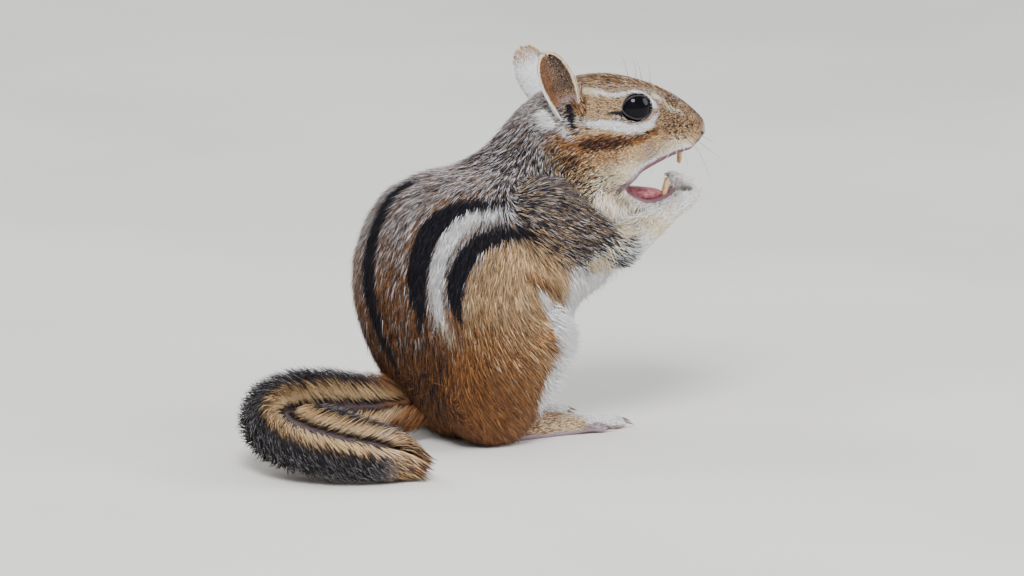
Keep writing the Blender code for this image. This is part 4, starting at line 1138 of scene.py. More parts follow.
@dataclass
class Skin:
    """One skin over the whole body, melted from the solids of flesh and drawn in by the coat's depth."""

    frames: Frames
    tail: TailLine
    voxel: float = 0.40
    gap: float = 0.25
    triangles: int = 150_000
    smoothing: int = 70
    weight_smoothing: int = 16
    muzzle_thinning: float = 0.7
    nose_tip_length: float = 0.22
    eye_shortening: float = 0.6

    def melt(self) -> Thing:
        """Melts the solids of flesh and the tail's core into one object.

        Returns:
            The object.
        """
        shape = bmesh.new()
        for region in REGIONS:
            for name in region.value.solids:
                shape.from_mesh(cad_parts[name].data)
        bmesh.ops.remove_doubles(shape, verts=shape.verts, dist=1e-5)
        shape.normal_update()
        for vert, normal in [(vert, vert.normal.copy()) for vert in shape.verts]:
            vert.co += normal * (self.gap * MM)
        core = self.tail.core()
        mesh = Workshop(self.frames).mesh("core", core.points, core.faces)
        shape.from_mesh(mesh)
        melted = bpy.data.meshes.new("skin")
        shape.to_mesh(melted)
        shape.free()
        thing = placed("skin", melted)
        step = thing.modifiers.new("melt", "REMESH")
        step.mode = "VOXEL"
        step.voxel_size = self.voxel * MM
        step = thing.modifiers.new("triangulate", "TRIANGULATE")
        step.quad_method = "SHORTEST_DIAGONAL"
        self.settle(thing)
        return thing

    def settle(self, thing: Thing) -> None:
        """Replaces an object's mesh with what its modifiers make of it.

        Args:
            thing: The object.
        """
        graph = bpy.context.evaluated_depsgraph_get()
        thing.data = bpy.data.meshes.new_from_object(thing.evaluated_get(graph))
        thing.modifiers.clear()

    def arrays(self, mesh: Mesh) -> tuple[Array, Array]:
        """The points in the trunk's frame and the triangles of a mesh.

        Args:
            mesh: The mesh.

        Returns:
            Its points and its triangles.
        """
        points = np.empty(len(mesh.vertices) * 3)
        mesh.vertices.foreach_get("co", points)
        faces = np.empty(len(mesh.loops), np.int32)
        mesh.loops.foreach_get("vertex_index", faces)
        return self.frames.from_scene(points.reshape(-1, 3)), faces.reshape(-1, 3)

    def edges(self, faces: Array) -> Array:
        """The edges of triangles, each once, as rows of two point numbers."""
        ends = np.concatenate([faces[:, [0, 1]], faces[:, [1, 2]], faces[:, [2, 0]]])
        return np.unique(np.sort(ends, axis=1), axis=0)

    def largest(self, points: Array, faces: Array) -> tuple[Array, Array]:
        """Keeps the connected surface with the most points.

        Args:
            points: All the points.
            faces: All the triangles.

        Returns:
            The points and the triangles of that surface.
        """
        edges = self.edges(faces)
        labels = np.arange(len(points))
        while True:
            low = np.minimum(labels[edges[:, 0]], labels[edges[:, 1]])
            after = labels.copy()
            np.minimum.at(after, edges[:, 0], low)
            np.minimum.at(after, edges[:, 1], low)
            after = after[after]
            if (after == labels).all():
                break
            labels = after
        keep = labels == np.bincount(labels).argmax()
        index = np.cumsum(keep) - 1
        return points[keep], index[faces[keep[faces].all(1)]]

    def smooth(self, values: Array, edges: Array, steps: int, amount: Any = 0.5) -> Array:
        """Eases values towards the mean of their neighbours.

        Args:
            values: Rows of values at the points.
            edges: Pairs of neighbours.
            steps: How many times.
            amount: How far each time, one number or one for each point.

        Returns:
            The eased values.
        """
        count = len(values)
        degree = np.bincount(edges.ravel(), minlength=count)[:, None]
        share = np.broadcast_to(np.asarray(amount, float).reshape(-1, 1), (count, 1))
        for _ in range(steps):
            total = np.empty_like(values)
            for column in range(values.shape[1]):
                flow = values[:, column]
                total[:, column] = np.bincount(edges[:, 0], flow[edges[:, 1]], count)
                total[:, column] += np.bincount(edges[:, 1], flow[edges[:, 0]], count)
            values = values + share * (total / np.maximum(degree, 1) - values)
        return values

    def labels(self, points: Array) -> Array:
        """The number of the region that each point lies nearest to.

        Args:
            points: Points in the trunk's frame.

        Returns:
            A region's number for each.
        """
        corners, faces, owners = [], [], []
        for number, region in enumerate(REGIONS):
            meshes = [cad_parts[name].data for name in region.value.solids]
            parts = []
            for mesh in meshes:
                mesh.calc_loop_triangles()
                index = np.array([triangle.vertices for triangle in mesh.loop_triangles])
                places = np.array([vertex.co for vertex in mesh.vertices])
                parts.append((self.frames.from_scene(places), index))
            if region is Region.TAIL:
                core = self.tail.core()
                parts = [(core.points, core.faces)]
            for places, index in parts:
                start = sum(len(rows) for rows in corners)
                corners.append(places)
                faces.append(index + start)
                owners += [number] * len(index)
        tree = BVHTree.FromPolygons(np.concatenate(corners).tolist(), np.concatenate(faces).tolist())
        return np.array([owners[tree.find_nearest(point)[2]] for point in points.tolist()])

    def unwrap(self, thing: Thing) -> None:
        """Lays the skin out flat in islands.

        Args:
            thing: The skin's object.
        """
        thing.data.uv_layers.new(name=COAT_UV)
        bpy.context.view_layer.objects.active = thing
        thing.select_set(True)
        bpy.ops.object.mode_set(mode="EDIT")
        bpy.ops.mesh.select_all(action="SELECT")
        bpy.ops.uv.smart_project(angle_limit=math.radians(80.0), island_margin=0.001)
        bpy.ops.object.mode_set(mode="OBJECT")

    def build(self, finish: Material) -> Surface:
        """Builds the skin and reads what the coat needs.

        Args:
            finish: The fur's material.

        Returns:
            The skin as arrays.
        """
        thing = self.melt()
        points, faces = self.largest(*self.arrays(thing.data))
        edges = self.edges(faces)
        owner = self.labels(points)
        ease = self.smooth(by_region("ease")[owner][:, None], edges, 6)[:, 0]
        points = self.smooth(points, edges, self.smoothing, 0.5 * ease)
        thing.data = Workshop(self.frames).mesh("skin", points, faces)
        step = thing.modifiers.new("thin", "DECIMATE")
        step.ratio = min(1.0, self.triangles / len(faces))
        self.settle(thing)
        outer, faces = self.arrays(thing.data)
        edges = self.edges(faces)
        weights = np.eye(len(REGIONS))[self.labels(outer)]
        weights = self.smooth(weights, edges, self.weight_smoothing)
        normals = np.empty(len(outer) * 3)
        thing.data.vertex_normals.foreach_get("vector", normals)
        normals = normals.reshape(-1, 3)
        surface = self.dress(thing, outer, normals, faces, edges, weights)
        thing.data.materials.clear()
        thing.data.materials.append(finish)
        thing.data.shade_smooth()
        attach(thing, "root")
        flesh = [name for region in REGIONS for name in region.value.solids]
        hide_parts(*flesh, "tail_1", "tail_2", "tail_3", "tail_4")
        log.info("skin: %d triangles", len(faces))
        return surface

    def bare(self, outer: Array, normals: Array, weights: Array) -> tuple[Array, Array, Array, Array]:
        """Where the skin shows: the mouth's lining, the nose pad, the eye openings and the soles.

        Args:
            outer: Points of the skin before it is drawn in.
            normals: Their normals.
            weights: Their share in each region.

        Returns:
            The lining, the grey skin, the dark lids and the cover, each from 0 to 1.
        """
        head, head_normals = self.frames.to_head(outer), normals @ self.frames.turn
        face = share_of(weights, Region.HEAD, Region.JAW)
        lining = Mouth.lining(head, head_normals) * smoothstep(0.3, 0.6, face)
        left = folded(head, 1.0)
        from_eye = left - np.array(EYE_PLACE)
        aim = unit(np.array(EYE_AIM))
        ahead = from_eye @ aim
        aside = from_eye - ahead[:, None] * aim
        oval = np.linalg.norm(aside / np.array([LID_OPENING[0], 1.0, LID_OPENING[1]]), axis=1)
        rim = smoothstep(1.16, 1.02, oval) * smoothstep(0.0, 0.5, ahead)
        from_nose = (left - np.array(NOSE_PLACE)) / np.array(NOSE_SIZE)
        nose = smoothstep(1.15, 0.85, np.linalg.norm(from_nose, axis=1))
        paws = share_of(weights, Region.HAND, Region.FOOT)
        sole = smoothstep(0.0, 1.0, paws * smoothstep(1.6, 0.8, outer[:, 2]))
        grey = np.clip(nose + sole, 0.0, 1.0)
        return lining, grey, rim, 1.0 - np.clip(lining + grey + rim, 0.0, 1.0)

    def dress(
        self, thing: Thing, outer: Array, normals: Array, faces: Array, edges: Array, weights: Array
    ) -> Surface:
        """Draws the skin in, lays it out and gives it the markings.

        Args:
            thing: The skin's object.
            outer: Its points before it is drawn in.
            normals: Their normals.
            faces: The triangles.
            edges: The edges.
            weights: Each point's share in each region.

        Returns:
            The skin as arrays.
        """
        lining, grey, dark, cover = self.bare(outer, normals, weights)
        head = self.frames.to_head(outer)
        face = share_of(weights, Region.HEAD)
        muzzle = face * smoothstep(6.0, 18.0, head[:, 0])
        depth = weights @ by_region("depth") * (1.0 - self.muzzle_thinning * muzzle) * cover
        depth = self.smooth(depth[:, None], edges, 4)[:, 0]
        points = outer - normals * depth[:, None]
        points[:, 2] = np.maximum(points[:, 2], 0.0)
        thing.data.vertices.foreach_set("co", self.frames.to_scene(points).astype(np.float32).ravel())
        thing.data.update()
        self.unwrap(thing)
        corners = np.empty(len(faces) * 6)
        thing.data.uv_layers[COAT_UV].uv.foreach_get("vector", corners)
        length = weights @ by_region("length")
        length = length * (1.0 - face * (1.0 - self.nose_tip_length) * smoothstep(2.0, 21.0, head[:, 0]))
        away = np.linalg.norm(np.abs(head) - np.array(EYE_PLACE), axis=1)
        length = length * (1.0 - face * self.eye_shortening * smoothstep(8.5, 5.5, away))
        numbers = Markings(self.frames).read(outer, weights)
        numbers["pink"] = np.maximum(numbers["pink"], lining)
        numbers["grey"] = np.maximum(numbers["grey"], grey)
        numbers["black"] = np.maximum(numbers["black"], dark)
        numbers["tail"] = share_of(weights, Region.TAIL) * smoothstep(-30.0, -38.0, outer[:, 0])
        # Covered skin takes the colour a quarter up a hair, partly darkened by the painted shade at the hairs'
        # roots; bare skin takes it half way, out of that shade.
        numbers["along"] = np.where(cover > 0.5, 0.25, 0.5)
        numbers["chance"] = np.random.default_rng(5).random(len(outer))
        carry(thing.data, numbers)
        way = self.ways(outer, normals, weights)
        corners = corners.reshape(-1, 3, 2)
        return Surface(points, outer, normals, faces, corners, weights, way, length, cover, numbers)

    def ways(self, outer: Array, normals: Array, weights: Array) -> Array:
        """The way the hair lies at each point, along the surface.

        Args:
            outer: Points of the skin before it is drawn in.
            normals: Their normals.
            weights: Their share in each region.

        Returns:
            Ways one long.
        """
        lie, limbs = Lie(), Limbs(self.frames)
        trunk = lie.read(outer, lie.trunk)
        head = lie.read(self.frames.to_head(outer), lie.head) @ self.frames.turn.T
        share = {region: weights[:, i : i + 1] for i, region in enumerate(REGIONS)}
        total = trunk * (share[Region.TORSO] + share[Region.NECK] + share[Region.THIGH] + share[Region.TAIL])
        total = total + head * (share[Region.HEAD] + share[Region.JAW])
        for side in (1, -1):
            here = np.where(outer[:, 1:2] * side > -2.0, 1.0, 0.0)
            shoulder, elbow, wrist, knuckles = limbs.arm(side)
            total += here * share[Region.UPPER_ARM] * unit(elbow - shoulder)
            total += here * share[Region.FOREARM] * unit(wrist - elbow)
            total += here * share[Region.HAND] * unit(knuckles - wrist)
            total += here * share[Region.FOOT] * limbs.foot(side)[1][:, 0]
        return laid(total, normals)


@dataclass(frozen=True)
class TuftForm:
    """The solid form of one tuft: stations between its root and its tip, as shares along and across."""

    stations: tuple[tuple[float, float], ...]

    def places(self) -> tuple[Array, Array]:
        """Where each point of one tuft lies: its share along the tuft, and its side from -1 to 1."""
        along = [0.0] + [share for share, _ in self.stations for _ in range(3)] + [1.0]
        return np.array(along), np.array([0.0] + [-1.0, 1.0, 0.0] * len(self.stations) + [0.0])

    def faces(self) -> Array:
        """The triangles of one tuft: a point at the root, three corners at each station and the tip.

        Returns:
            Rows of three point numbers.
        """
        count = len(self.stations)
        tip = 3 * count + 1
        rows = []
        for a, b in ((0, 1), (1, 2), (2, 0)):
            rows.append((0, 1 + b, 1 + a))
            for row in range(count - 1):
                low, high = 1 + 3 * row, 4 + 3 * row
                rows += [(low + a, low + b, high + b), (low + a, high + b, high + a)]
            low = 1 + 3 * (count - 1)
            rows.append((low + a, low + b, tip))
        return np.array(rows)

    def split(self, heights: Array) -> list[Array]:
        """The numbers of tufts in order of a height, split so that no piece holds too many triangles."""
        parts = max(1, math.ceil(len(heights) / (PIECE_TRIANGLES // len(self.faces()))))
        return np.array_split(np.argsort(heights, kind="stable"), parts)


SHORT_TUFT = TuftForm(((0.38, 1.0),))
TAIL_TUFT = TuftForm(((0.25, 0.8), (0.62, 1.0)))


@dataclass
class Tufts:
    """Roots and shapes of many tufts as arrays."""

    root: Array
    way: Array
    out: Array
    length: Array
    width: Array
    lift: Array
    place: Array
    numbers: dict[str, Array]

    def taken(self, keep: Array) -> "Tufts":
        """The tufts at these numbers."""
        *arrays, numbers = vars(self).values()
        numbers = {key: values[keep] for key, values in numbers.items()}
        return Tufts(*(values[keep] for values in arrays), numbers)


@dataclass
class Coat:
    """Grows tufts over the skin and turns them into pieces."""

    workshop: Workshop
    surface: Surface
    finish: Material
    thinning: float = 1.0
    seed: int = 20
    per_clump: int = 9
    clumping: float = 0.28
    thickness: float = 0.30
    floor: float = 0.04
    length_spread: float = 0.18
    turn_spread: float = 0.16
    lift_spread: float = 0.25
    standing_share: float = 0.07
    standing_lift: float = 1.9
    marking_reach: float = 0.45
    root_depth: float = 0.15
    bow: float = 0.45

    def roots(self, regions: Sequence[Region], chance: Chance) -> Tufts:
        """Scatters roots over some regions.

        Args:
            regions: The regions to cover.
            chance: The source of variation.

        Returns:
            The tufts there.
        """
        s = self.surface
        numbers = [REGIONS.index(region) for region in regions]
        at_faces = s.weights[s.faces].mean(1)
        owner = at_faces.argmax(1)
        corners = s.points[s.faces]
        sides = corners[:, 1:] - corners[:, :1]
        area = np.linalg.norm(np.cross(sides[:, 0], sides[:, 1]), axis=1) / 2
        want = area * by_region("density")[owner] * s.cover[s.faces].min(1)
        want = want * np.isin(owner, numbers) * self.thinning
        count = np.floor(want + chance.random(len(want))).astype(int)
        face = np.repeat(np.arange(len(want)), count)
        first, second = chance.random(len(face)), chance.random(len(face))
        over = first + second > 1.0
        first[over], second[over] = 1.0 - first[over], 1.0 - second[over]
        share = np.stack([1.0 - first - second, first, second], 1)

        def here(values: Array) -> Array:
            """The values of the skin's points, read at the roots."""
            rows = values[s.faces[face]]
            return (rows * (share[..., None] if rows.ndim == 3 else share)).sum(1)

        out = unit(here(s.normals))
        way = laid(here(s.way), out)
        weights = here(s.weights)
        length = here(s.length) * chance.normal(1.0, self.length_spread, len(face)).clip(0.55, 1.45)
        turn = chance.normal(0.0, self.turn_spread, len(face))
        side = np.cross(out, way)
        way = unit(way * np.cos(turn)[:, None] + side * np.sin(turn)[:, None])
        place = (s.corners[face] * share[..., None]).sum(1)
        seen = here(s.outer) + way * (length * self.marking_reach)[:, None]
        layers = Markings(self.workshop.frames).read(seen, weights)
        for key in ("pink", "grey"):
            layers[key] = np.maximum(layers[key], here(s.numbers[key]))
        layers["tail"] = here(s.numbers["tail"])
        layers["chance"] = chance.random(len(face))
        standing = chance.random(len(face)) < self.standing_share
        usual = chance.normal(1.0, self.lift_spread, len(face)).clip(0.4, 1.8)
        lift = weights @ by_region("lift") * np.where(standing, self.standing_lift, usual)
        width = weights @ by_region("width") * chance.uniform(0.8, 1.2, len(face))
        return Tufts(here(s.points), way, out, length, width, lift, place, layers)

    def clumps(self, tufts: Tufts, chance: Chance) -> Array:
        """How far each tip is drawn to the middle of its clump.

        Args:
            tufts: The tufts.
            chance: The source of variation.

        Returns:
            A move for each tip.
        """
        count = len(tufts.root)
        middles = chance.choice(count, max(1, count // self.per_clump), replace=False)
        tips = tufts.root + tufts.way * tufts.length[:, None]
        tree = KDTree(len(middles))
        for i, place in enumerate(tufts.root[middles].tolist()):
            tree.insert(place, i)
        tree.balance()
        nearest = middles[[tree.find(place)[1] for place in tufts.root.tolist()]]
        return (tips[nearest] - tips) * (self.clumping * chance.uniform(0.6, 1.2, count)[:, None])

    def shape(self, tufts: Tufts, pull: Any = 0.0) -> Shape:
        """The tufts as solids.

        Args:
            tufts: The tufts.
            pull: How far each tip is drawn aside.

        Returns:
            One shape of many closed tufts.
        """
        rise = np.sin(np.radians(tufts.lift))[:, None] * tufts.length[:, None]
        reach = np.cos(np.radians(tufts.lift))[:, None] * tufts.length[:, None]
        across = np.cross(tufts.out, tufts.way)

        def middle(share: float) -> Array:
            """The middle of each tuft at a share of its length."""
            bow = share - self.bow * share * share
            return tufts.root + tufts.way * reach * share + tufts.out * rise * bow + pull * share**2

        half = tufts.width[:, None] / 2
        rows = [tufts.root - tufts.out * self.root_depth]
        for share, wide in SHORT_TUFT.stations:
            centre = middle(share)
            rows += [centre - across * half * wide, centre + across * half * wide]
            rows.append(centre + tufts.out * tufts.width[:, None] * self.thickness * wide)
        return self.pack(tufts, SHORT_TUFT, np.stack(rows + [middle(1.0)], 1))

    def pack(self, tufts: Tufts, form: TuftForm, points: Array) -> Shape:
        """Turns points per tuft into one shape with its numbers and its places on the unwrap.

        Args:
            tufts: The tufts.
            form: Their form.
            points: Points as tufts by points by 3, in the form's order.

        Returns:
            The shape.
        """
        count, each = points.shape[:2]
        along, sides = form.places()
        lowest = points[..., 2].min(1, keepdims=True)
        points[..., 2] += np.maximum(0.0, self.floor - lowest)
        faces = (form.faces()[None] + (np.arange(count) * each)[:, None, None]).reshape(-1, 3)
        numbers = {key: np.repeat(values, each) for key, values in tufts.numbers.items()}
        numbers["along"] = np.tile(along, count)
        spot = np.stack([sides * TUFT_PATCH / 2, (along - 0.5) * TUFT_PATCH], 1)
        places = np.clip(tufts.place[:, None] + spot[None], 0.0, 1.0).reshape(-1, 2)
        return Shape(points.reshape(-1, 3), faces, numbers, places[faces])

    def pieces(self, name: str, tufts: Tufts, slot: str, chance: Chance) -> None:
        """Makes the tufts of one part of the body into pieces, in order of height.

        Args:
            name: The pieces' name.
            tufts: The tufts.
            slot: The record's slot.
            chance: The source of variation.
        """
        pull = self.clumps(tufts, chance)
        for i, part in enumerate(SHORT_TUFT.split(tufts.root[:, 2])):
            shape = self.shape(tufts.taken(part), pull[part])
            self.workshop.piece(f"{name}_{i + 1}", shape, self.finish, slot)

    def build(self) -> None:
        """Covers the whole body."""
        chance = np.random.default_rng(self.seed)
        groups = (
            ("coat_head", (Region.HEAD, Region.JAW), "head"),
            ("coat_trunk", (Region.TORSO, Region.NECK), "torso"),
            ("coat_limbs", (Region.THIGH, Region.UPPER_ARM), "thigh"),
            ("coat_paws", (Region.FOREARM, Region.HAND, Region.FOOT), "hand"),
        )
        for name, regions, slot in groups:
            self.pieces(name, self.roots(regions, chance), slot, chance)


@dataclass(frozen=True)
class Fringe:
    """A line of longer hair that stands out from the coat, given for the right side and mirrored."""

    home: Home
    line: tuple[Point, ...]
    way: Point
    length: float
    lift: float
    count: int
    layers: tuple[tuple[Layer, float], ...]
    scatter: float = 1.2


FRINGES: tuple[Fringe, ...] = (
    # Front of the thigh, belly and breast
    Fringe(TRUNK, ((2.4, -24.6, 35), (5.4, -25.6, 29), (6, -25.4, 22), (5, -23.8, 15), (2.5, -21, 9)),
        (0.8, -0.45, -0.45), 5.6, 44, 1300, ((WHITE, 1),), 2),
    Fringe(TRUNK, ((26, -5, 46), (22, -5, 39), (17, -6, 32)), (0.55, -0.1, -0.8), 7, 36, 700, ((WHITE, 1),),
        3),
    Fringe(TRUNK, ((24, -17, 50), (14, -19, 47)), (0.35, -0.2, -0.9), 5, 26, 500, ((BUFF, 0.6),
        (CREAM, 0.7)), 1.6),
    # Throat
    Fringe(HEAD, ((7, -10.5, -19), (0, -13.5, -17.5), (-6, -15, -15)), (-0.35, -0.1, -0.9), 4.8, 26, 900,
        ((CREAM, 0.95), (WHITE, 0.4)), 2.4),
    # Round the ears
    Fringe(HEAD, ((-17.5, -9.5, 6.5), (-16.4, -11.6, 3.4)), (-0.95, -0.3, -0.15), 4.6, 34, 260,
        ((WHITE, 1),), 0.8),
    Fringe(HEAD, ((-9.6, -8.6, 11.5), (-9.2, -10.6, 8), (-9.6, -11.6, 5)), (-0.45, -0.2, 0.85), 3.2, 28,
        420, ((BUFF, 1), (RUST, 0.5), (BLACK, 0.36)), 0.9),
    Fringe(HEAD, ((-17, -12.6, -0.5), (-14.5, -13.8, -3), (-11, -14.2, -4)), (-0.8, -0.2, -0.6), 4, 20, 500,
        ((BUFF, 1), (RUST, 0.6), (BLACK, 0.44)), 1.5),
    # Root of the tail
    Fringe(TRUNK, ((-35, -12, 15), (-31, -15, 9), (-25, -17, 4.5)), (-0.8, -0.35, -0.4), 6, 22, 700,
        ((RUST, 1), (BLACK, 0.36)), 2),
)


@dataclass
class Fringes:
    """Grows the fringes from the skin below their lines."""

    coat: Coat
    width: float = 0.24
    seed: int = 60

    def build(self) -> None:
        """Grows every fringe on both sides and makes them into one piece."""
        chance, tree = np.random.default_rng(self.seed), self.coat.surface.tree()
        shapes = [self.tufts(fringe, side, tree, chance) for fringe in FRINGES for side in (-1, 1)]
        self.coat.workshop.piece("fringes", joined(shapes), self.coat.finish, "torso")

    def tufts(self, fringe: Fringe, side: int, tree: BVHTree, chance: Chance) -> Shape:
        """The tufts of one fringe.

        Args:
            fringe: The fringe.
            side: -1 for the right, 1 for the left.
            tree: The skin's faces.
            chance: The source of variation.

        Returns:
            Its tufts as one shape.
        """
        frames, count = self.coat.workshop.frames, int(fringe.count * self.coat.thinning)
        rows = sampled(fringe.line, 12) * np.array([1.0, -side, 1.0])
        way = np.array(fringe.way) * np.array([1.0, -side, 1.0])
        if fringe.home is HEAD:
            rows, way = frames.from_head(rows), way @ frames.turn.T
        aims = rows[chance.integers(0, len(rows), count)]
        aims = aims + chance.normal(0.0, fringe.scatter * 0.6, (count, 3))
        found = [tree.find_nearest(aim) for aim in aims.tolist()]
        root = np.array([place for place, _, _, _ in found])
        out = np.array([normal for _, normal, _, _ in found])
        corners = self.coat.surface.corners[[face for _, _, face, _ in found]].mean(1)
        way = laid(unit(way + chance.normal(0.0, 0.16, (count, 3))), out)
        numbers = blank_numbers(count)
        for layer, strength in fringe.layers:
            numbers[layer.value] += strength
        numbers["chance"] = chance.random(count)
        length = fringe.length * chance.normal(1.0, 0.2, count).clip(0.5, 1.5)
        lift = fringe.lift * chance.normal(1.0, 0.3, count).clip(0.3, 1.7)
        tufts = Tufts(root, way, out, length, np.full(count, self.width), lift, corners, numbers)
        return self.coat.shape(tufts)


@dataclass
class TailHair:
    """The tail's long hair, parted along a line that looks up and to the right and laid out to both sides."""

    coat: Coat
    tail: TailLine
    count: int = 14_000
    length: float = 11.0
    width: float = 0.34
    parting_root: Point = (-0.05, -0.92, 0.40)
    parting: Point = (-0.05, -0.72, 0.69)
    tip_radius: float = 3.4
    lengths: tuple[float, float] = (0.75, 1.15)
    longer_tip: float = 0.4
    juts: tuple[float, float] = (0.72, 1.10)
    most_lean: float = 0.26
    closing: float = 0.75
    spread: float = 0.80
    forward_share: float = 0.66
    flatness: float = 0.74
    seed: int = 31

    def build(self) -> None:
        """Grows the hair and makes it into pieces."""
        chance = np.random.default_rng(self.seed)
        count = int(self.count * self.coat.thinning)
        share = chance.uniform(-0.07, self.tail.core_end, count)
        angle = chance.uniform(-math.pi, math.pi, count)
        length = self.length * chance.uniform(*self.lengths, count)
        length = length * (1.0 + self.longer_tip * smoothstep(0.75, 0.9, share))
        jut = chance.uniform(*self.juts, count)
        lean = chance.uniform(-self.most_lean, self.most_lean, count)
        root, _, _, band = self.middle(share, angle, lean, length, jut, 0.0)
        rows, bands = [root], [band]
        for at, wide in TAIL_TUFT.stations:
            centre, out, forward, band = self.middle(share, angle, lean, length, jut, at)
            across = np.cross(forward, out) * (self.width / 2 * wide)
            rows += [centre + across, centre - across, centre + out * (self.width * 0.3 * wide)]
            bands += [band] * 3
        tip, _, _, band = self.middle(share, angle, lean, length, jut, 1.0)
        points, bands = np.stack(rows + [tip], 1), np.stack(bands + [band], 1)
        numbers = blank_numbers(count)
        numbers["buff"] = smoothstep(0.72, 0.85, share) * 0.95
        numbers["rust"] = np.maximum(smoothstep(0.16, 0.02, share) * 0.9, smoothstep(0.74, 0.9, share) * 0.5)
        numbers["black"] = smoothstep(0.74, 0.9, share) * 0.34
        numbers["tail"] = smoothstep(0.00, 0.10, share) * (1.0 - smoothstep(0.72, 0.86, share))
        numbers["chance"] = chance.random(count)
        place = np.column_stack([share.clip(0.0, 1.0), 0.5 + angle / (2 * math.pi)])
        blank = np.zeros(count)
        tufts = Tufts(root, root, root, blank, blank, blank, place, numbers)
        for i, part in enumerate(TAIL_TUFT.split(share)):
            shape = self.coat.pack(tufts.taken(part), TAIL_TUFT, points[part])
            shape.numbers["band"] = bands[part].ravel()
            self.coat.workshop.piece(f"tail_hair_{i + 1}", shape, self.coat.finish, "tail")

    def middle(
        self, share: Array, angle: Array, lean: Array, length: Array, jut: Array, at: float
    ) -> tuple[Array, Array, Array, Array]:
        """The middle of each hair at a share of its own length.

        Args:
            share: Where each hair starts along the tail; below 0 it starts inside the rump.
            angle: Where it starts round the core, from the parting.
            lean: How far it turns round the tail by chance.
            length: Its length.
            jut: How far out its tip stands, as a share of the coat.
            at: The share along the hair.

        Returns:
            The middle, the way out, the way forward and how far out across the parting it lies.
        """
        tail = self.tail
        there = share + length * self.forward_share * at / tail.span
        over = (np.maximum(0.0, there - 1.0) + np.minimum(0.0, there)) * tail.span
        there = there.clip(0.0, 1.0)
        centre, forward = tail.read(tail.centre, there), tail.read(tail.forward, there)
        across, upward = tail.read(tail.across, there), tail.read(tail.upward, there)
        later = smoothstep(0.35, 0.6, there)[:, None]
        toward = np.array(self.parting_root) * (1.0 - later) + np.array(self.parting) * later
        start = np.arctan2((upward * toward).sum(1), (across * toward).sum(1))
        fringe = np.where(angle > 0.0, 0.5, -0.5) * math.pi
        spread = self.spread * (1.0 - self.closing * smoothstep(0.76, 0.96, there))
        turned = angle + (fringe - angle) * spread * at + lean * at
        turn = (start + turned)[:, None]
        out = across * np.cos(turn) + upward * np.sin(turn)
        radius = np.maximum(tail.read(tail.radius, there), self.tip_radius * smoothstep(0.7, 0.85, there))
        core = tail.read(tail.radius, share.clip(0.0, 1.0)) * tail.core_share * 0.9
        flat = self.flatness + (1.0 - self.flatness) * smoothstep(0.7, 0.95, there)
        oval = flat + (1.04 - flat) * np.sin(turned) ** 2
        rise = at * (1.5 - 0.5 * at)
        high = core + (np.maximum(radius * jut * oval, core * 0.5) - core) * rise
        band = np.abs(high * np.sin(turned)) / np.maximum(radius, 2.0)
        return centre + out * high[:, None] + forward * over[:, None], out, forward, band


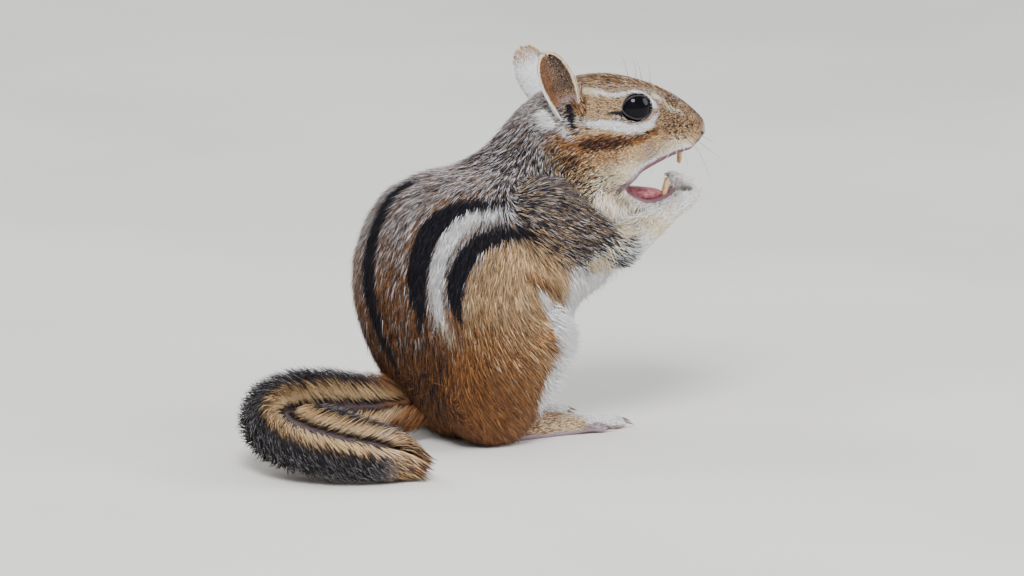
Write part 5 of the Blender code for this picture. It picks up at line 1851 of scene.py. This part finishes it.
@dataclass
class Ears:
    """The cups of the ears, thin and rolled, with short hair."""

    workshop: Workshop
    coat: Coat
    root: Point = (-12.6, 9.4, 3.6)
    tips: dict[int, Point] = field(default_factory=lambda: {1: (-19.8, 11.8, 20.8), -1: (-18.2, 11.6, 20.8)})
    half_width: float = 4.4
    wall: float = 0.55
    forward_turn: float = 16.0
    widest: float = 0.60
    root_width: float = 0.40
    roll_root: float = 120.0
    roll_tip: float = 48.0
    columns: int = 40
    rows: int = 44
    hairs: int = 5000
    edge_share: float = 0.22
    inner_share: float = 0.42
    hair_width: float = 0.17
    hair_lift: float = 12.0

    def middle(self, across: Array, up: Array, side: int) -> Array:
        """Points of the cup's middle surface, in the head's frame on the left.

        Args:
            across: From -1 to 1 over the cup.
            up: From 0 at the root to 1 at the tip.
            side: 1 for the left ear, -1 for the right one.

        Returns:
            The points.
        """
        root, tip = np.array(self.root), np.array(self.tips[side])
        axis, length = unit(tip - root), np.linalg.norm(tip - root)
        turn = math.radians(self.forward_turn)
        face = np.array([math.sin(turn), math.cos(turn), 0.0])
        face = unit(face - axis * (face @ axis))
        wide = np.cross(face, axis)
        low = np.sin(0.5 * math.pi * np.minimum(up, self.widest) / self.widest)
        low = self.root_width + (1 - self.root_width) * low
        high = np.sqrt(np.maximum(0.0, 1 - (np.maximum(0.0, up - self.widest) / (1 - self.widest)) ** 2))
        half = self.half_width * low * high
        roll = np.radians(self.roll_root + (self.roll_tip - self.roll_root) * np.minimum(1.0, up * 1.3))
        radius = half / np.maximum(0.35, np.sin(np.minimum(roll, math.pi / 2)))
        angle = roll * across
        point = root + axis * (length * up)[..., None]
        point = point + wide * (radius * np.sin(angle))[..., None]
        return point + face * (radius * (1 - np.cos(angle)) - 2.0)[..., None]

    def build(self) -> None:
        """Builds both ears."""
        for side, tag in ((-1, "r"), (1, "l")):
            self.cup(side, tag)

    def cup(self, side: int, tag: str) -> None:
        """Builds one cup with its hair.

        Args:
            side: 1 for the left, -1 for the right.
            tag: The side's letter in the names of pieces.
        """
        up = 0.99 * np.linspace(0, 1, self.rows) ** 0.85
        across, up = np.meshgrid(np.linspace(-1, 1, self.columns), up)
        grid = self.middle(across, up, side)
        normal = unit(np.cross(np.gradient(grid, axis=0), np.gradient(grid, axis=1)))
        thick = self.wall / 2 * (0.55 + 0.45 * np.cos(across * math.pi / 2))[..., None]
        count = grid.shape[0] * grid.shape[1]
        points = np.concatenate([(grid + normal * half).reshape(-1, 3) for half in (thick, -thick)])
        index = np.arange(count).reshape(grid.shape[:2])
        a, b, c, d = index[:-1, :-1], index[:-1, 1:], index[1:, 1:], index[1:, :-1]
        near = np.concatenate([np.stack(three, -1).reshape(-1, 3) for three in ([a, c, b], [a, d, c])])
        rim = np.concatenate([index[0], index[1:, -1], index[-1, -2::-1], index[-2:0:-1, 0]])
        after = np.roll(rim, -1)
        threes = [rim, after, after + count], [rim, after + count, rim + count]
        band = np.concatenate([np.stack(three, 1) for three in threes])
        faces = np.concatenate([near, near[:, ::-1] + count, band])[:, ::side]
        inner = np.concatenate([np.ones(count), np.zeros(count)])
        numbers = self.colours(np.tile(up.ravel(), 2), np.tile(across.ravel(), 2), inner)
        numbers["along"] = np.full(2 * count, 0.5)
        numbers["chance"] = np.random.default_rng(7).random(2 * count) * 0.5 + 0.2
        shape = Shape(self.workshop.frames.from_head(points, side), faces, numbers)
        self.workshop.piece(f"ear_cup_{tag}", shape, self.coat.finish, "ear", (f"ear_{tag}",))
        self.hair(side, tag)

    def colours(self, up: Array, across: Array, inner: Array) -> dict[str, Array]:
        """The layers over the ear, with painted shade inside the cup.

        Args:
            up: From 0 at the root to 1 at the tip.
            across: From -1 at the back edge to 1 at the front edge.
            inner: 1 on the cup's inside, 0 on its back.

        Returns:
            The amounts by layer.
        """
        numbers = blank_numbers(len(up))
        edge = np.maximum(smoothstep(0.88, 0.95, np.abs(across)), smoothstep(0.94, 0.98, up))
        back = 1.0 - inner
        rear = smoothstep(0.45, -0.35, across)
        numbers["buff"] = np.maximum(inner, back * smoothstep(0.55, 0.95, up) * 0.55)
        front_edge = back * smoothstep(0.7, 0.9, across) * smoothstep(0.9, 0.6, up)
        numbers["rust"] = np.maximum(inner * (0.45 + 0.4 * rear), front_edge * 0.7)
        numbers["cream"] = edge * 0.8
        numbers["white"] = back * smoothstep(1.0, 0.6, up) * smoothstep(0.9, 0.5, across)
        # Grey low inside the cup is partly its lilac skin and partly painted shade of the hollow there.
        numbers["grey"] = inner * smoothstep(0.42, 0.20, up) * smoothstep(-0.5, 0.3, across)
        # Black over the inside is painted shade of the cup's hollow, more towards the front and deepest at the
        # root.
        numbers["black"] = inner * (1.0 - edge) * (0.74 - 0.24 * rear) * smoothstep(0.15, 0.45, up)
        numbers["black"] = np.maximum(numbers["black"], inner * smoothstep(0.22, 0.12, up) * 0.95)
        return numbers

    def hair(self, side: int, tag: str) -> None:
        """Covers one ear with short hair, thick outside, thin inside and fringed along the rim.

        Args:
            side: 1 for the left, -1 for the right.
            tag: The side's letter in the names of pieces.
        """
        chance = np.random.default_rng(40 + side)
        count = int(self.hairs * self.coat.thinning)
        across, up = chance.uniform(-0.98, 0.98, count), chance.uniform(0.02, 0.97, count)
        edge = chance.random(count) < self.edge_share
        across = np.where(edge, np.sign(across) * chance.uniform(0.93, 1.0, count), across)
        inner = (chance.random(count) < self.inner_share).astype(float)
        here = self.middle(across, up, side)
        higher = self.middle(across, np.minimum(up + 0.03, 0.995), side)
        outward = self.middle(across + 0.02, up, side) - self.middle(across - 0.02, up, side)
        way = unit(higher - here)
        way = np.where(edge[:, None], unit(way + 0.35 * unit(outward) * np.sign(across)[:, None]), way)
        way = unit(way + chance.normal(0.0, 0.12, (count, 3)))
        out = unit(np.cross(higher - here, outward)) * np.where(inner > 0.5, 1.0, -1.0)[:, None]
        root = here + out * (self.wall * 0.35)
        numbers = self.colours(up, across, inner)
        numbers["chance"] = chance.random(count)
        frames = self.workshop.frames
        mirror = np.array([1.0, side, 1.0])
        tufts = Tufts(
            frames.from_head(root, side),
            (way * mirror) @ frames.turn.T,
            (out * mirror) @ frames.turn.T,
            np.where(inner > 0.5, 0.8, 1.2) * chance.uniform(0.7, 1.3, count),
            np.full(count, self.hair_width),
            np.full(count, self.hair_lift),
            np.column_stack([0.5 + across * 0.4, up]),
            numbers,
        )
        self.workshop.piece(f"ear_hair_{tag}", self.coat.shape(tufts), self.coat.finish, "ear")


@dataclass
class Eyes:
    """The eyeballs and the dark rims of the lids."""

    workshop: Workshop
    rim_radius: float = 0.26
    upper: float = 3.05
    lower: float = 2.75

    def build(self) -> None:
        """Builds both eyes."""
        gloss, skin = EYE_GLOSS.material(), LID_SKIN_AND_NOSTRIL_SHADE.material()
        frames = self.workshop.frames
        for side, tag in ((-1, "r"), (1, "l")):
            centre = frames.from_head(EYE_PLACE, side)
            ball = globe(centre, (EYE_RADIUS,) * 3, None, 56)
            self.workshop.piece(f"eyeball_{tag}", ball, gloss, "eye", (f"eye_{tag}",))
            self.workshop.piece(f"lid_rim_{tag}", self.rim(side), skin, "head")

    def rim(self, side: int) -> Shape:
        """The rim of the lids round the opening.

        Args:
            side: 1 for the left, -1 for the right.

        Returns:
            The closed ring.
        """
        aim = unit(np.array(EYE_AIM))
        across = unit(np.cross(np.array([0.0, 0.0, 1.0]), aim))
        upward = np.cross(aim, across)
        angles = np.linspace(0.0, 2 * math.pi, 49)
        sine = np.sin(angles)
        height = np.where(sine > 0.0, self.upper, self.lower) * np.sign(sine) * np.abs(sine) ** 1.15
        aside = np.cos(angles)[:, None] * across * (LID_OPENING[0] + 0.1) + (height - 0.15)[:, None] * upward
        ahead = np.sqrt(np.maximum(0.0, (EYE_RADIUS + 0.05) ** 2 - (aside**2).sum(1)))
        line = np.array(EYE_PLACE) + aside + aim * ahead[:, None]
        ring = rod(line, [self.rim_radius] * len(line), 10)
        return ring.from_head(self.workshop.frames, side)


@dataclass
class Nose:
    """The bare pad of the nose, with two dark solids painted as the shade in its nostrils."""

    workshop: Workshop
    surface: Surface
    height: float = -0.9
    pad: Point = (2.0, 2.2, 1.6)
    nostril: Point = (0.62, 0.42, 0.5)
    setback: float = 1.15
    drop: float = 0.3
    stands_out: float = 0.35
    sunk: float = 0.2
    nostril_turn: float = 30.0

    def build(self) -> None:
        """Sets the pad on the tip of the muzzle, and dark solids in its sides as painted shade of the nostrils.
        """
        frames, tree = self.workshop.frames, self.surface.tree()
        start = frames.from_head((60.0, 0.0, self.height))
        front = frames.to_head(np.array(tree.ray_cast(start.tolist(), (-frames.turn[:, 0]).tolist())[0]))
        middle = front - np.array([self.pad[0] - self.stands_out, 0.0, 0.0])
        pad = globe(middle, self.pad).from_head(frames)
        self.workshop.piece("nose_pad", pad, NOSE_SKIN.material(), "head")
        holes = []
        for side in (-1, 1):
            place = front - np.array([self.setback, 0.0, self.drop])
            beside = frames.from_head(place + np.array([0.0, 20.0 * side, 0.0]))
            hit = tree.ray_cast(beside.tolist(), (-side * frames.turn[:, 1]).tolist())[0]
            skin = abs(frames.to_head(np.array(hit))[1])
            share = (place - middle) / np.array(self.pad)
            place[1] = side * (max(skin, self.pad[1] * math.sqrt(1.0 - share @ share)) - self.sunk)
            # Each nostril is a dark solid sunk into the pad, in the lid skin's finish: painted shade of the
            # opening.
            holes.append(globe(place, self.nostril, rotation_z(side * self.nostril_turn), 20))
        self.workshop.piece("nostrils", joined(holes).from_head(frames), LID_SKIN_AND_NOSTRIL_SHADE.material(), "head")


@dataclass
class Mouthful:
    """The tongue and the front teeth."""

    workshop: Workshop
    tongue: tuple[tuple[float, float, float, float], ...] = (
        (13, -15.6, -17.2, 1.2), (11.6, -14.9, -17.9, 2.5), (8, -14.3, -18.6, 3.6), (4, -13.9, -18.4, 4),
        (2.4, -14, -17.6, 3.2),
    )
    tooth_width: float = 1.42
    tooth_depth: float = 1.3
    tooth_rings: tuple[Point, ...] = (
        (0.0, 1.0, 1.0),
        (0.4, 1.0, 1.0),
        (0.8, 0.97, 0.85),
        (0.95, 0.9, 0.55),
        (1.0, 0.8, 0.3),
    )
    upper: tuple[Point, Point] = ((18.0, 0.0, -4.0), (17.5, 0.0, -8.8))
    lower: tuple[Point, Point] = ((13.4, 0.0, -17.6), (14.6, 0.0, -12.4))

    def build(self) -> None:
        """Builds the tongue and both pairs of teeth."""
        frames = self.workshop.frames
        rings = []
        angles = np.linspace(0.0, 2 * math.pi, 32, endpoint=False)
        for along, top, bottom, half in sampled(self.tongue, 5):
            height = (top - bottom) / 2
            groove = -0.25 * np.exp(-((np.sin(angles) / 0.25) ** 2)) * (np.cos(angles) > 0)
            z = (top + bottom) / 2 + np.cos(angles) * height + groove
            rings.append(np.stack([np.full(32, along), np.sin(angles) * half, z], 1))
        shape = loft(np.array(rings)).from_head(frames)
        self.workshop.piece("tongue_body", shape, TONGUE_FLESH.material(), "tongue", ("tongue",))
        tooth = TOOTH.material()
        for name, (root, tip) in (("upper", self.upper), ("lower", self.lower)):
            pair = joined([self.tooth(np.array(root), np.array(tip), side) for side in (-1, 1)])
            pair = pair.from_head(frames)
            self.workshop.piece(f"teeth_{name}", pair, tooth, "incisors", (f"incisors_{name}",))

    def tooth(self, root: Array, tip: Array, side: int) -> Shape:
        """One front tooth with a rounded front and a chisel edge.

        Args:
            root: The middle of the pair's root.
            tip: The middle of its edge.
            side: 1 for the left tooth, -1 for the right.

        Returns:
            The closed shape.
        """
        rings = []
        angles = np.linspace(0.0, 2 * math.pi, 20, endpoint=False)
        way = unit(tip - root)
        ahead = unit(np.cross(np.array([0.0, 1.0, 0.0]), way))
        for share, slim, deep in self.tooth_rings:
            centre = root + (tip - root) * share + np.array([0.0, side * (self.tooth_width / 2), 0.0])
            power = np.sign(np.cos(angles)) * np.abs(np.cos(angles)) ** 0.7
            width = np.sin(angles) * self.tooth_width / 2 * slim * 0.94
            depth = power * self.tooth_depth / 2 * deep
            rings.append(centre + width[:, None] * np.array([0.0, 1.0, 0.0]) + depth[:, None] * ahead)
        return loft(np.array(rings))


@dataclass
class Claws:
    """The claws of hands and feet."""

    workshop: Workshop
    toes: tuple[tuple[float, float, float, float, float], ...] = (
        # root forward, root sideways, length, sideways turn in degrees, radius
        (16.5, -3.0, 6.6, -14.0, 1.20),
        (22.6, -2.4, 8.4, -6.0, 1.35),
        (23.4, -0.1, 9.4, 0.0, 1.40),
        (22.6, 2.2, 8.8, 6.0, 1.35),
        (17.5, 3.1, 7.4, 15.0, 1.25),
    )
    finger_reach: tuple[float, ...] = (0.92, 1.04, 1.06, 0.96)
    finger_spread: float = 1.36

    def claw(self, root: Array, way: Array, bend: Array, length: float, radius: float) -> Shape:
        """A curved claw that narrows to its tip.

        Args:
            root: Where it leaves the toe.
            way: The way it points.
            bend: How far its tip is bent aside.
            length: Its length.
            radius: Its radius at the root.

        Returns:
            The closed shape.
        """
        shares = np.linspace(-0.25, 1.0, 12)
        line = root + way * (length * shares)[:, None] + bend * (np.maximum(0.0, shares) ** 2)[:, None]
        radii = radius * (1 - 0.93 * np.maximum(0.0, shares) ** 1.4)
        return rod(line, radii, 10)

    def build(self) -> None:
        """Builds the claws of all four paws."""
        horn = CLAW_HORN.material()
        limbs = Limbs(self.workshop.frames)
        for side, tag in ((-1, "r"), (1, "l")):
            foot = joined([self.toe_claw(*toe) for toe in self.toes])
            place, axes = limbs.foot(side)
            shape = Shape(foot.points @ axes.T + place, foot.faces[:, ::side])
            self.workshop.piece(f"claws_foot_{tag}", shape, horn, "hind_foot")
            hand = joined([self.finger_claw(i, reach) for i, reach in enumerate(self.finger_reach)])
            place, axes = limbs.hand(side)
            shape = Shape(hand.points @ axes.T + place, hand.faces)
            self.workshop.piece(f"claws_hand_{tag}", shape, horn, "hand")

    def toe_claw(self, forward: float, sideways: float, length: float, turn: float, radius: float) -> Shape:
        """The claw of one toe, in the foot's frame.

        Args:
            forward: The toe's root, forward of the heel.
            sideways: The same, outward.
            length: The toe's length.
            turn: The way it points, in degrees outward.
            radius: The toe's radius.

        Returns:
            The closed shape.
        """
        angle = math.radians(turn)
        way = np.array([math.cos(angle), math.sin(angle), 0.0])
        root = np.array([forward, sideways, radius - 0.1 + 0.45]) + way * (length * 0.95)
        return self.claw(root, way, np.array([0.0, 0.0, -1.2]), 2.6 + radius, 0.52)

    def finger_claw(self, number: int, reach: float) -> Shape:
        """The claw of one finger, in the hand's frame.

        Args:
            number: The finger, from 0 to 3.
            reach: Its length as a share of the longest.

        Returns:
            The closed shape.
        """
        wrist, knuckles, tips = (np.array(place) for place in (Limbs.WRIST, Limbs.KNUCKLES, Limbs.FINGERTIPS))
        palm, length = np.linalg.norm(knuckles - wrist), np.linalg.norm(tips - knuckles) * reach
        aside = number - 1.5
        root = np.array([palm * 0.95, aside * self.finger_spread, 0.0])
        bent = root + np.array([length * 0.24, aside * 0.20, -length * 0.60])
        end = root + np.array([-length * 0.04, aside * 0.15, -length * 0.96])
        root, bend = end + np.array([0.3, 0.0, 0.1]), np.array([-0.7, 0.0, 0.0])
        return self.claw(root, unit(end - bent), bend, 1.7, 0.30)


@dataclass
class Whiskers:
    """The whiskers of the muzzle and the long hairs of the brow, as root, bend and tip on the right side."""

    workshop: Workshop
    white: tuple[tuple[Point, Point, Point], ...] = (
        ((15.5, -6.6, -2.2), (14.5, -10.5, -7), (13, -13, -14)), ((17, -6.2, -3.6), (17.5, -9.5, -6.5),
        (18, -12, -10)), ((14.5, -6.8, -3.6), (11, -11.5, -7.5), (6.5, -16, -12)),
    )
    black: tuple[tuple[Point, Point, Point], ...] = (
        ((17.5, -5.8, -1), (21, -9.5, -6), (23, -12, -12.5)), ((19.5, -5.2, -1.4), (23, -8.5, -4.5),
        (26.5, -11, -7.5)), ((20.5, -4.6, -0.6), (23, -7, -2), (25.5, -9, -3.6)), ((13, -7.2, -1),
        (9, -14, -1.5), (3, -20, -3.5)), ((12.5, -7.2, -2.6), (8.5, -14, -4.5), (2, -20, -8)),
        ((6.5, -7.6, 13), (6, -8.4, 15.5), (5, -9.2, 18.5)), ((8.5, -7.4, 12.2), (8.6, -8.2, 14.6),
        (8, -9.2, 17.2)),
    )
    radius: float = 0.07

    def build(self) -> None:
        """Builds the white and the black whiskers of both sides."""
        sets = ("white", self.white, WHISKER_WHITE), ("black", self.black, WHISKER_BLACK)
        for name, rows, finish in sets:
            material = finish.material()
            hairs = []
            for side in (-1, 1):
                for row in rows:
                    line = sampled(row, 8)
                    radii = self.radius * (1.0 - 0.85 * np.linspace(0.0, 1.0, len(line)))
                    hair = rod(line * np.array([1.0, -side, 1.0]), radii, 5)
                    hairs.append(hair.from_head(self.workshop.frames))
            self.workshop.piece(f"whiskers_{name}", joined(hairs), material, "head")


def main() -> None:
    """Builds the model over its solids, piece by piece."""
    logging.basicConfig(level=logging.INFO, format="%(name)s %(message)s")
    frames = Frames.from_solids()
    workshop = Workshop(frames)
    Camera().build(frames)
    Studio().build()
    fur = CoatFinish().material()
    tail = TailLine()
    surface = Skin(frames, tail).build(fur)
    coat = Coat(workshop, surface, fur, thinning=1.0)
    coat.build()
    Fringes(coat).build()
    TailHair(coat, tail).build()
    Ears(workshop, coat).build()
    Eyes(workshop).build()
    Nose(workshop, surface).build()
    Mouthful(workshop).build()
    Claws(workshop).build()
    Whiskers(workshop).build()


if __name__ == "__main__":
    main()
